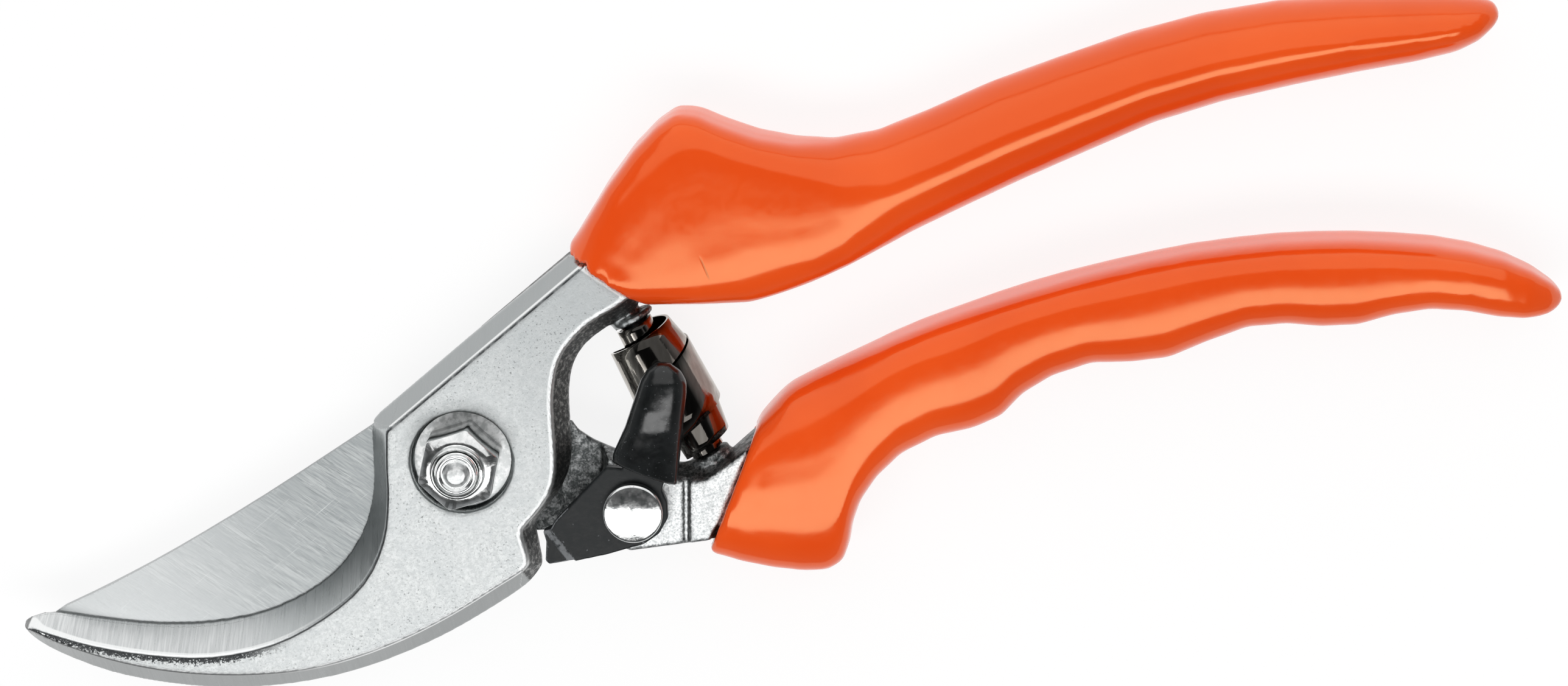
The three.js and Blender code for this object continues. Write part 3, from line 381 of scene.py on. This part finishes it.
def nickel_spring():
    """Nickel-plated strip, drawn along its length, with a painted dark reflection down its front, a
    painted orange reflection at one side and painted shade inside the coil.
    """
    f = Finish("nickel_spring")
    drawn_place = f.mapped(f.place, turn=(0, 0, math.radians(11)), scale=(1.6, 0.2, 1.6))
    drawn = f.noise(1.0, 4, 0.6, place=drawn_place)
    colour = f.blend(f.span(drawn, 0.3, 0.7), (0.36, 0.335, 0.30), (0.50, 0.47, 0.43))
    # painted reflection of the orange grips at one side
    colour = f.blend(f.times(f.attribute("grip_reflection"), 0.6), colour, (0.15, 0.085, 0.075))
    # painted dark reflection along the middle of the front
    colour = f.blend(f.times(f.attribute("dark_reflection_band"), 0.93), colour, (0.014, 0.013, 0.012))
    # painted shade inside the coil
    colour = f.blend(f.attribute("inside"), colour, (0.035, 0.032, 0.03))
    f.set(Base_Color=colour, Metallic=1.0)
    f.set(Roughness=f.span(drawn, 0.3, 0.7, 0.05, 0.11))
    f.bump(drawn, 0.02, 0.3)
    return f.material


def black_steel():
    """Blackened lever plate, satin, with specks, and worn edges that also carry a painted highlight
    along the joggle's bend.
    """
    f = Finish("black_steel")
    satin = f.noise(1.2, 4, 0.6)
    specks = f.span(f.noise(1.15, 2, 0.5), 0.70, 0.76)
    worn = f.times(f.attribute("worn"), f.span(f.noise(0.9, 3, 0.6), 0.3, 0.55))
    colour = f.blend(f.span(satin, 0.3, 0.7), (0.006, 0.0075, 0.008), (0.013, 0.0155, 0.0165))
    colour = f.blend(f.times(specks, 0.6), colour, (0.20, 0.21, 0.22))
    # painted highlight, partly wear, along the bend of the lever's joggle
    colour = f.blend(f.times(worn, 0.85), colour, (0.27, 0.28, 0.29))
    f.set(Base_Color=colour, Metallic=0.0, Specular_IOR_Level=0.22)
    f.set(Roughness=f.span(satin, 0.3, 0.7, 0.34, 0.46))
    f.bump(satin, 0.05, 0.35)
    return f.material


# ---------------------------------------------------------------- vinyl


def orange_vinyl():
    """Dipped orange vinyl: glossy, with a faint orange peel, cloudy colour and one hairline crease."""
    f = Finish("orange_vinyl")
    clouds = f.noise(0.05, 3, 0.5)
    peel = f.noise(0.35, 2, 0.5)
    colour = f.blend(f.span(clouds, 0.35, 0.65), (0.90, 0.082, 0.009), (0.95, 0.096, 0.0115))
    x, y, z = f.axes(f.place)
    off_crease = f.calc("ABSOLUTE", f.calc("ADD", x, f.calc("MULTIPLY_ADD", y, 0.067, -41.4)))
    crease = f.times(f.span(off_crease, 0.06, 0.2, 1, 0), f.stripe(y, 14.6, 17.4, 0.6), f.span(z, 9, 11))
    colour = f.blend(f.times(crease, 0.4), colour, (0.16, 0.02, 0.008))
    f.set(Base_Color=colour, Metallic=0.0, IOR=1.6, Specular_Tint=(1.0, 0.90, 0.46))
    f.set(Roughness=f.span(f.noise(0.9, 3, 0.6), 0.3, 0.7, 0.12, 0.17))
    f.bump(f.calc("SUBTRACT", peel, f.times(crease, 2.0)), 0.03, 0.35)
    return f.material


def black_vinyl():
    """Dipped black vinyl with fine dust."""
    f = Finish("black_vinyl")
    clouds = f.noise(0.4, 3, 0.5)
    dust = f.span(f.noise(2.4, 2, 0.6), 0.66, 0.72)
    colour = f.blend(f.span(clouds, 0.35, 0.65), (0.004, 0.0048, 0.005), (0.009, 0.0105, 0.0108))
    colour = f.blend(f.times(dust, 0.25), colour, (0.25, 0.26, 0.27))
    f.set(Base_Color=colour, Metallic=0.0, IOR=1.52)
    f.set(Roughness=f.span(f.noise(1.0, 3, 0.6), 0.3, 0.7, 0.17, 0.24))
    f.bump(f.noise(0.6, 3, 0.6), 0.05, 0.5)
    return f.material


finishes = {
    "blasted_steel": blasted_steel(),
    "ground_steel": ground_steel(),
    "forged_steel": forged_steel(),
    "bright_steel": bright_steel(),
    "nickel_spring": nickel_spring(),
    "black_steel": black_steel(),
    "orange_vinyl": orange_vinyl(),
    "black_vinyl": black_vinyl(),
}

# ---------------------------------------------------------------- mesh tools


def merged_copy(node):
    """The mesh of a CAD node with its split vertices joined, as a bmesh."""
    bm = bmesh.new()
    bm.from_mesh(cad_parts[node].data)
    bmesh.ops.remove_doubles(bm, verts=bm.verts, dist=0.001 * MM)
    return bm


def piece_from(mesh, name, slot, body, *nodes):
    """A new piece with its finish, riding on a body and standing for CAD nodes."""
    mesh.name = name
    mesh.materials.clear()
    mesh.materials.append(finishes[slot])
    obj = bpy.data.objects.new(name, mesh)
    bpy.context.scene.collection.objects.link(obj)
    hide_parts(*nodes)
    if body:
        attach(obj, body)
    return obj


def evaluated(mesh, **modifiers):
    """A mesh after modifiers, each given as KIND=settings."""
    obj = bpy.data.objects.new("working", mesh)
    bpy.context.scene.collection.objects.link(obj)
    for kind, settings in modifiers.items():
        modifier = obj.modifiers.new(kind, kind)
        for key, value in settings.items():
            setattr(modifier, key, value)
    graph = bpy.context.evaluated_depsgraph_get()
    made = bpy.data.meshes.new_from_object(obj.evaluated_get(graph), depsgraph=graph)
    bpy.data.objects.remove(obj)
    return made


def remeshed(node, voxel):
    """The CAD node as an even mesh of small quads."""
    mesh = bpy.data.meshes.new("source")
    bm = merged_copy(node)
    bm.to_mesh(mesh)
    bm.free()
    return evaluated(mesh, REMESH={"mode": "VOXEL", "voxel_size": voxel, "use_smooth_shade": True})


def positions(mesh):
    """The places of the vertices, as rows of x, y and z."""
    co = np.empty(len(mesh.vertices) * 3)
    mesh.vertices.foreach_get("co", co)
    return co.reshape(-1, 3)


def normals(mesh):
    directions = np.empty(len(mesh.vertices) * 3)
    mesh.vertex_normals.foreach_get("vector", directions)
    return directions.reshape(-1, 3)


def relax(mesh, rounds, free=1.0, pull=-0.52):
    """Smooths a mesh without shrinking it: each round averages and then sharpens again.
    free is 0 where a vertex stays, and 1 where it moves. A weaker pull smooths more."""
    co = positions(mesh)
    edges = np.empty(len(mesh.edges) * 2, np.int64)
    mesh.edges.foreach_get("vertices", edges)
    a, b = edges.reshape(-1, 2).T
    count = len(co)
    neighbours = np.bincount(a, minlength=count) + np.bincount(b, minlength=count)
    weight = np.broadcast_to(np.asarray(free, float), count)[:, None]
    for _ in range(rounds):
        for factor in (0.5, pull):
            total = np.stack([
                np.bincount(a, co[b, axis], count) + np.bincount(b, co[a, axis], count)
                for axis in range(3)
            ], axis=1)
            co = co + weight * factor * (total / neighbours[:, None] - co)
    mesh.vertices.foreach_set("co", co.astype(np.float32).ravel())
    mesh.update()


def write_attribute(mesh, name, values):
    """Stores one number for each vertex, which the finishes read by name."""
    layer = mesh.attributes.new(name, "FLOAT", "POINT")
    layer.data.foreach_set("value", np.asarray(values, np.float32))


def smoothstep(values, low, high):
    t = np.clip((values - low) / (high - low), 0, 1)
    return t * t * (3 - 2 * t)


def gap_to(mesh, node):
    """Distance in millimetres of each vertex from the surface of a CAD node."""
    bm = merged_copy(node)
    surface = BVHTree.FromBMesh(bm)
    bm.free()
    return np.array([surface.find_nearest(place)[3] for place in positions(mesh)]) / MM


def softened(node, width):
    """Rounds the edges of a CAD node that stays in the picture."""
    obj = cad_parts[node]
    weld = obj.modifiers.new("weld", "WELD")
    weld.merge_threshold = 0.001 * MM
    bevel = obj.modifiers.new("bevel", "BEVEL")
    bevel.width = width
    bevel.segments = 2
    bevel.limit_method = "ANGLE"
    bevel.angle_limit = math.radians(30)
    bevel.use_clamp_overlap = True
    for polygon in obj.data.polygons:
        polygon.use_smooth = True
    even = obj.modifiers.new("even", "WEIGHTED_NORMAL")
    even.weight = 100


def carried_over(node, slot):
    """Gives a finish to a CAD node that stays in the picture."""
    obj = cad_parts[node]
    obj.data.materials.clear()
    obj.data.materials.append(finishes[slot])


# ---------------------------------------------------------------- hook half

FORGING_VOXEL = 0.32 * MM
FORGING_ROUNDS = 4
FORGING_PULL = -0.3
LEVEL, STEEP = 0.985, 0.9       # upward share of the normal on the face, and beside it
BORDER_STEP = 0.12 * MM
BORDER_HEIGHT = 0.12 * MM       # how far below the top a facet may lie and still be of the face
RIM_REACH = 5.0                 # millimetres inside the face at which a rim is no longer felt

# the hook half seen from above, in millimetres and directions across its sides
INWARD = (-0.5, 0.85, 0)        # out of the hook's inner bevel
STRIP_WARD = (-0.39, 0.92, 0)   # out of the ground strip above the pivot
GAP_WARD = (0.92, -0.39, 0)     # out of the forged wall that faces the spring
HOOK_START = -7.6               # x where the hook begins
HOOK_CORNER = 7.4               # y of the corner between the hook and the strip
RECESS_RADIUS = 8.2
BEVEL_FOOT = 8.3                # z above which the hook's inner side is its bevel
GROUND_FOOT = 8.2               # z above which sloping sides are ground
BEHIND = 8.0                    # z below which the neck lies behind the other half
RIM_HEIGHT = 4.6                # how far below the face its rims are still felt


def face_border(node, level):
    """Points along the border of the face at that level: (place, outward, normal of the side)."""
    bm = merged_copy(node)
    border = []
    for edge in bm.edges:
        faces = sorted(edge.link_faces, key=lambda face: -face.normal.z)
        if len(faces) != 2 or faces[0].normal.z < LEVEL or faces[1].normal.z > STEEP:
            continue
        if faces[0].calc_center_median().z < level - BORDER_HEIGHT:
            continue
        a, b = (vert.co for vert in edge.verts)
        outward = (b - a).cross(Vector((0, 0, 1))).normalized()
        if outward.dot((a + b) / 2 - faces[0].calc_center_median()) < 0:
            outward = -outward
        steps = max(2, math.ceil((b - a).length / BORDER_STEP))
        border += [(a.lerp(b, k / steps), outward, faces[1].normal.copy()) for k in range(steps)]
    bm.free()
    return border


def depth_inside(points, border):
    """How far inside the border each point lies, in millimetres seen from above, and negative
    outside it. Past an end of the border, a point of the face gets its distance from that end."""
    tree = KDTree(len(border))
    for i, (place, _, _) in enumerate(border):
        tree.insert((place.x, place.y, 0), i)
    tree.balance()
    depth = np.full(len(points), RIM_REACH)
    for k, point in enumerate(points):
        flat = Vector((point[0], point[1], 0))
        _, i, distance = tree.find(flat)
        if distance > RIM_REACH * MM:
            continue
        place, outward, _ = border[i]
        toward = (place - flat).dot(outward)
        past_the_end = distance > 0.15 * MM and abs(toward) < 0.6 * distance
        if not past_the_end:
            depth[k] = toward / MM
        elif toward > 0:
            depth[k] = distance / MM
    return depth


def rim_of(place, side):
    """Which rim a point of the border is on, from the normal of the side beside it."""
    x, y = place.x / MM, place.y / MM
    if math.hypot(x, y) < RECESS_RADIUS:
        return None
    if side.dot(INWARD) > 0.12 and x < HOOK_START and y < HOOK_CORNER:
        return "inner_rim"
    if side.dot(STRIP_WARD) > 0.3 and y > 0:
        return "strip_rim"
    if side.dot(GAP_WARD) > 0.3 and x > 3:
        return "wall_rim"
    return "lower_rim"


def counter_blade():
    """The forged hook half, with the attributes that tell its finish what each surface is."""
    mesh = remeshed("counter_blade", FORGING_VOXEL)
    relax(mesh, FORGING_ROUNDS, pull=FORGING_PULL)
    co, facing = positions(mesh) / MM, normals(mesh)
    x, y, z = co.T
    upward = facing[:, 2]
    slope = (upward < 0.9) & (upward > -0.2)
    on_hook = (x < HOOK_START) & (y < HOOK_CORNER) & (z > BEVEL_FOOT)
    bevel = slope & on_hook & (facing @ np.array(INWARD) > 0.12)
    wall = (facing @ np.array(GAP_WARD) > 0.15) & (x > 3.0) & (upward < 0.9)
    behind = (z < BEHIND) & (x > 4) & (upward < 0.5)
    write_attribute(mesh, "bevel", bevel)
    write_attribute(mesh, "wall", wall | behind)
    write_attribute(mesh, "ground", slope & ~wall & (z > GROUND_FOOT))

    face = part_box("counter_blade")[1].z
    border = face_border("counter_blade", face)
    upper = z > face / MM - RIM_HEIGHT
    for rim in RIMS:
        points = [point for point in border if rim_of(point[0], point[2]) == rim]
        depth = np.full(len(co), RIM_REACH)
        depth[upper] = depth_inside(co[upper] * MM, points)
        write_attribute(mesh, rim, depth)
    return piece_from(mesh, "hook_half", "blasted_steel", "counter_half", "counter_blade")


def grip(node, tang, body):
    """A dipped sleeve: smooth outside, and tight on the tang where it ends."""
    mesh = remeshed(node, 0.55 * MM)
    relax(mesh, 110, free=smoothstep(gap_to(mesh, tang), 0.5, 1.3))
    return piece_from(mesh, node + "_sleeve", "orange_vinyl", body, node)


# ---------------------------------------------------------------- cutting half


def lower_tang():
    """The forged neck and tang. Its front, which faces up, is milled."""
    mesh = remeshed("lower_tang", FORGING_VOXEL)
    relax(mesh, FORGING_ROUNDS, pull=FORGING_PULL)
    height, upward = positions(mesh)[:, 2] / MM, normals(mesh)[:, 2]
    write_attribute(mesh, "milled", (upward > 0.9) & (height > 11.5))
    return piece_from(mesh, "neck_and_tang", "forged_steel", "cutting_half", "lower_tang")


# ---------------------------------------------------------------- turned pieces

BORE = 3.12                     # radius inside the nut and the washer, round a bolt of radius 3


def turned(profile, segments=96, centre=(0, 0)):
    """A turned mesh. profile(angle) gives (radius, height) in millimetres along the section,
    which starts and ends on the axis or closes on itself."""
    first = profile(0.0)
    open_ends = first[0][0] == 0
    bm = bmesh.new()
    rings = []
    for k in range(segments):
        angle = 2 * math.pi * k / segments
        rings.append([
            bm.verts.new(((centre[0] + r * math.cos(angle)) * MM,
                          (centre[1] + r * math.sin(angle)) * MM, z * MM))
            for r, z in profile(angle)
        ])
    rows = len(first)
    spans = rows - 1 if open_ends else rows
    for k in range(segments):
        here, there = rings[k], rings[(k + 1) % segments]
        for i in range(spans):
            j = (i + 1) % rows
            bm.faces.new((here[i], there[i], there[j], here[j]))
    bmesh.ops.remove_doubles(bm, verts=bm.verts, dist=0.0005 * MM)
    bmesh.ops.recalc_face_normals(bm, faces=bm.faces)
    mesh = bpy.data.meshes.new("turned")
    bm.to_mesh(mesh)
    bm.free()
    return mesh


def shade_by_angle(mesh, degrees=32):
    for polygon in mesh.polygons:
        polygon.use_smooth = True
    mesh.set_sharp_from_angle(angle=math.radians(degrees))


def rounded(points, radius, steps=3):
    """A section with its corners rounded, apart from the two ends: points are (radius, height)."""
    out = [points[0]]
    for before, here, after in zip(points, points[1:], points[2:]):
        a, b, c = (Vector(p) for p in (before, here, after))
        cut = min(radius, (a - b).length * 0.45, (c - b).length * 0.45)
        start = b + (a - b).normalized() * cut
        end = b + (c - b).normalized() * cut
        for k in range(steps + 1):
            t = k / steps
            p = start * (1 - t) ** 2 + b * 2 * t * (1 - t) + end * t * t
            out.append((p.x, p.y))
    out.append(points[-1])
    return out


def pivot_bolt():
    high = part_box("pivot_bolt")[1] / MM
    top, head = high.z, high.x
    section = rounded([
        (0, 0.5), (2.6, 0.5), (2.9, 0.0), (head - 0.8, 0.0), (head, 0.7), (head, 2.6), (3.0, 2.6),
        (3.0, top - 1.0), (2.62, top - 0.5), (2.3, top - 0.5), (1.95, top - 0.75), (1.62, top - 0.42),
        (1.25, top - 0.08), (0, top),
    ], 0.16)
    mesh = turned(lambda angle: section)
    shade_by_angle(mesh)
    x, y, z = positions(mesh).T / MM
    write_attribute(mesh, "dull", (np.hypot(x, y) < 1.8) & (z > top - 1))
    return piece_from(mesh, "bolt", "bright_steel", "cutting_half", "pivot_bolt")


def pivot_washer():
    low, high = (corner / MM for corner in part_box("pivot_washer"))
    outer = high.x
    section = rounded([(BORE, low.z), (outer, low.z), (outer, high.z), (BORE, high.z)], 0.15)
    mesh = turned(lambda angle: section)
    shade_by_angle(mesh)
    write_attribute(mesh, "dull", np.ones(len(mesh.vertices)))
    return piece_from(mesh, "washer", "bright_steel", "cutting_half", "pivot_washer")


def pivot_nut():
    """A hexagon with chamfered corners, whose top slopes up to a round collar."""
    low, high = (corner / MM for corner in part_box("pivot_nut"))
    apothem = high.y
    corner = apothem * 1.138
    collar = 3.65
    shoulder = high.z - 1.1
    slope = math.tan(math.radians(22))
    sector = math.pi / 3

    def section(angle):
        off_flat = (angle % sector) - sector / 2
        flank = min(apothem / math.cos(off_flat), corner)
        brim = shoulder - slope * (flank - collar - 0.25)
        return [
            (BORE, low.z), (flank - 0.25, low.z), (flank - 0.07, low.z + 0.07), (flank, low.z + 0.25),
            (flank, brim - 0.14), (flank - 0.03, brim - 0.05), (flank - 0.1, brim + 0.03),
            (collar + 0.5, shoulder - slope * 0.25), (collar + 0.12, shoulder - 0.06),
            (collar, shoulder + 0.05), (collar, high.z - 0.32), (collar - 0.1, high.z - 0.1),
            (collar - 0.32, high.z), (3.3, high.z), (BORE, high.z - 0.15),
        ]

    mesh = turned(section, segments=180)
    shade_by_angle(mesh, 28)
    return piece_from(mesh, "nut", "bright_steel", "cutting_half", "pivot_nut")


def lock_rivet():
    """A shank under a low head, with a rounded rim and a slightly crowned top."""
    low, high = (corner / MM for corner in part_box("lock_rivet"))
    centre = ((low.x + high.x) / 2, (low.y + high.y) / 2)
    shank = 1.9
    head = (high.x - low.x) / 2
    under = high.z - 1.7
    rim = high.z - 0.42
    crown = head - 0.22
    section = [
        (0, low.z), (shank, low.z), (shank, under), (head - 0.15, under), (head, under + 0.15),
        (head, rim - 0.25), (head - 0.03, rim - 0.12), (head - 0.1, rim - 0.03), (crown, rim + 0.04),
    ]
    for share in (0.95, 0.85, 0.7, 0.55, 0.4, 0.25, 0.1, 0.0):
        section.append((crown * share, high.z - 0.38 * share * share))
    mesh = turned(lambda angle: section, centre=centre)
    shade_by_angle(mesh, 40)
    return piece_from(mesh, "rivet", "bright_steel", "cutting_half", "lock_rivet")


# ---------------------------------------------------------------- spring


def spring_axis():
    """A point on the middle line of the spring, and its direction."""
    co = positions(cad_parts["volute_spring"].data)
    middle = co.mean(axis=0)
    main_axes = np.linalg.svd(co - middle, full_matrices=False)[2]
    return middle, main_axes[0]


def faces_inward(mesh, middle, direction):
    """1 where the surface faces the axis, 0 where it faces away or along it."""
    offset = positions(mesh) - middle
    outward = offset - np.outer(offset @ direction, direction)
    outward /= np.linalg.norm(outward, axis=1)[:, None]
    return smoothstep(-np.einsum("ij,ij->i", normals(mesh), outward), 0.2, 0.6)


def volute_spring():
    """The strip with its quads found again and its edges kept crisp, and where it gets painted shade and
    painted reflections.
    """
    bm = merged_copy("volute_spring")
    bmesh.ops.join_triangles(
        bm, faces=bm.faces, angle_face_threshold=math.radians(30), angle_shape_threshold=math.radians(60)
    )
    crease = bm.edges.layers.float.new("crease_edge")
    for edge in bm.edges:
        sharp = len(edge.link_faces) != 2 or edge.calc_face_angle(0) > math.radians(50)
        edge[crease] = 0.85 if sharp else 0.0
    mesh = bpy.data.meshes.new("spring")
    bm.to_mesh(mesh)
    bm.free()
    mesh = evaluated(mesh, SUBSURF={"levels": 2, "render_levels": 2, "use_limit_surface": False})
    shade_by_angle(mesh, 45)
    middle, direction = spring_axis()
    inside = faces_inward(mesh, middle, direction)
    across = np.cross(direction, (0, 0, 1))
    sideways = normals(mesh) @ (across * np.sign(across[0]))
    front = smoothstep(normals(mesh)[:, 2], 0.1, 0.3) * (1 - inside)
    band = smoothstep(sideways, -0.3, -0.2) * smoothstep(sideways, 0.62, 0.52)
    # where the coil gets painted shade inside, a painted dark reflection down its front and a painted
    # reflection of the orange grips at one side
    write_attribute(mesh, "inside", inside)
    write_attribute(mesh, "dark_reflection_band", front * band)
    write_attribute(mesh, "grip_reflection", front * smoothstep(sideways, 0.5, 0.62))
    spring = piece_from(mesh, "spring", "nickel_spring", None, "volute_spring")
    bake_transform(spring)
    return spring


# ---------------------------------------------------------------- lock

RAMP_PLACE = np.array((22.0, -8.5))     # where the lever plate bends up towards the thumb cap
RAMP_DIRECTION = np.array((0.617, 0.787))
RAMP_RISE = 0.5
NOSE_END = 12                   # x up to which the lever is its joggled nose
RAMP_START = 16                 # x from which the ramp may begin


def lock_lever():
    """The plate with softened edges, bent up a little towards the thumb cap."""
    bm = merged_copy("lock_lever")
    bmesh.ops.dissolve_limit(
        bm, angle_limit=math.radians(1), use_dissolve_boundaries=False, verts=bm.verts, edges=bm.edges
    )
    mesh = bpy.data.meshes.new("lever")
    bm.to_mesh(mesh)
    bm.free()
    mesh = evaluated(mesh, REMESH={"mode": "VOXEL", "voxel_size": 0.16 * MM, "use_smooth_shade": True})
    relax(mesh, 6, pull=-0.35)
    co, facing = positions(mesh) / MM, normals(mesh)
    joggle = smoothstep(facing[:, 2], 0.98, 0.9) * smoothstep(facing[:, 2], 0.25, 0.5)
    # the joggle's bend near the nose, which the finish lightens: wear and a painted highlight
    write_attribute(mesh, "worn", joggle * (co[:, 0] < NOSE_END))
    toward_cap = (co[:, :2] - RAMP_PLACE) @ RAMP_DIRECTION
    top = co[:, 2].max()
    top_side = smoothstep(co[:, 2], top - 1.0, top - 0.2) * (co[:, 0] > RAMP_START)
    co[:, 2] += RAMP_RISE * smoothstep(toward_cap, -2.4, 1.2) * top_side
    mesh.vertices.foreach_set("co", (co * MM).astype(np.float32).ravel())
    return piece_from(mesh, "lever", "black_steel", "lock", "lock_lever")


def lock_thumb_cap():
    """The dipped cap: smooth outside, and tight on the lever where it ends."""
    mesh = remeshed("lock_thumb_cap", 0.26 * MM)
    relax(mesh, 50, free=smoothstep(gap_to(mesh, "lock_lever"), 0.35, 0.7))
    return piece_from(mesh, "thumb_cap", "black_vinyl", "lock", "lock_thumb_cap")


# ---------------------------------------------------------------- assembly

counter_blade()
grip("upper_grip", "counter_blade", "counter_half")
lower_tang()
grip("lower_grip", "lower_tang", "cutting_half")
softened("cutting_blade", 0.1 * MM)
carried_over("cutting_blade", "ground_steel")
for rivet_place in ("front", "rear"):
    carried_over("blade_rivet_" + rivet_place, "bright_steel")
pivot_bolt()
pivot_washer()
pivot_nut()
volute_spring()
lock_lever()
lock_thumb_cap()
lock_rivet()
carried_over("lock_spring_washer", "bright_steel")

# ---------------------------------------------------------------- stage

FLOOR_REACH = 4.0
FLOOR_GLOW = 0.855
BOX_DISTANCE = 0.95
LIT_PLACE = Vector((0.03, 0, 0))        # near the middle of the part


def make_floor():
    f = Finish("pale_floor")
    f.set(Base_Color=f.blend(f.noise(0.01, 2), (0.14, 0.14, 0.14), (0.15, 0.15, 0.15)), Roughness=0.8)
    f.set(Emission_Color=(1, 1, 1), Emission_Strength=FLOOR_GLOW)
    mesh = bpy.data.meshes.new("floor")
    corners = [(-1, -1), (1, -1), (1, 1), (-1, 1)]
    level = cad_box[0].z
    mesh.from_pydata([(x * FLOOR_REACH, y * FLOOR_REACH, level) for x, y in corners], [], [(0, 1, 2, 3)])
    mesh.materials.append(f.material)
    floor = bpy.data.objects.new("floor", mesh)
    bpy.context.scene.collection.objects.link(floor)


def make_soft_box(name, lean, width, height, radiance):
    """A soft box that faces the part. It leans from straight up towards the picture's top."""
    light = bpy.data.lights.new(name, "AREA")
    light.shape = "RECTANGLE"
    light.size = width
    light.size_y = height
    light.energy = radiance * math.pi * width * height
    obj = bpy.data.objects.new(name, light)
    bpy.context.scene.collection.objects.link(obj)
    toward = table_direction(0, math.sin(lean), math.cos(lean))
    up = table_direction(0, 1, 0)
    side = up.cross(toward).normalized()
    turn = Matrix((side, toward.cross(side), toward)).transposed().to_4x4()
    obj.matrix_world = Matrix.Translation(toward * BOX_DISTANCE + LIT_PLACE) @ turn


def make_world():
    """A dim room that is darkest overhead."""
    world = bpy.data.worlds.new("studio")
    world.use_nodes = True
    nodes, links = world.node_tree.nodes, world.node_tree.links
    direction = nodes.new("ShaderNodeTexCoord")
    height = nodes.new("ShaderNodeSeparateXYZ")
    links.new(direction.outputs["Generated"], height.inputs[0])
    ceiling = nodes.new("ShaderNodeMapRange")
    ceiling.interpolation_type = "SMOOTHSTEP"
    for socket, value in (("From Min", 0.15), ("From Max", 0.75), ("To Min", 0.3), ("To Max", 0.06)):
        ceiling.inputs[socket].default_value = value
    links.new(height.outputs["Z"], ceiling.inputs["Value"])
    background = nodes["Background"]
    background.inputs["Color"].default_value = (0.95, 0.98, 1.0, 1)
    links.new(ceiling.outputs["Result"], background.inputs["Strength"])
    bpy.context.scene.world = world


make_floor()
make_world()
make_soft_box("top_box", math.radians(48), 1.7, 1.43, 1.05)
make_soft_box("lower_strip", math.radians(-22), 1.3, 0.33, 4.4)

view = bpy.context.scene.view_settings
view.view_transform = "Standard"
view.look = "None"
view.exposure = 0.0
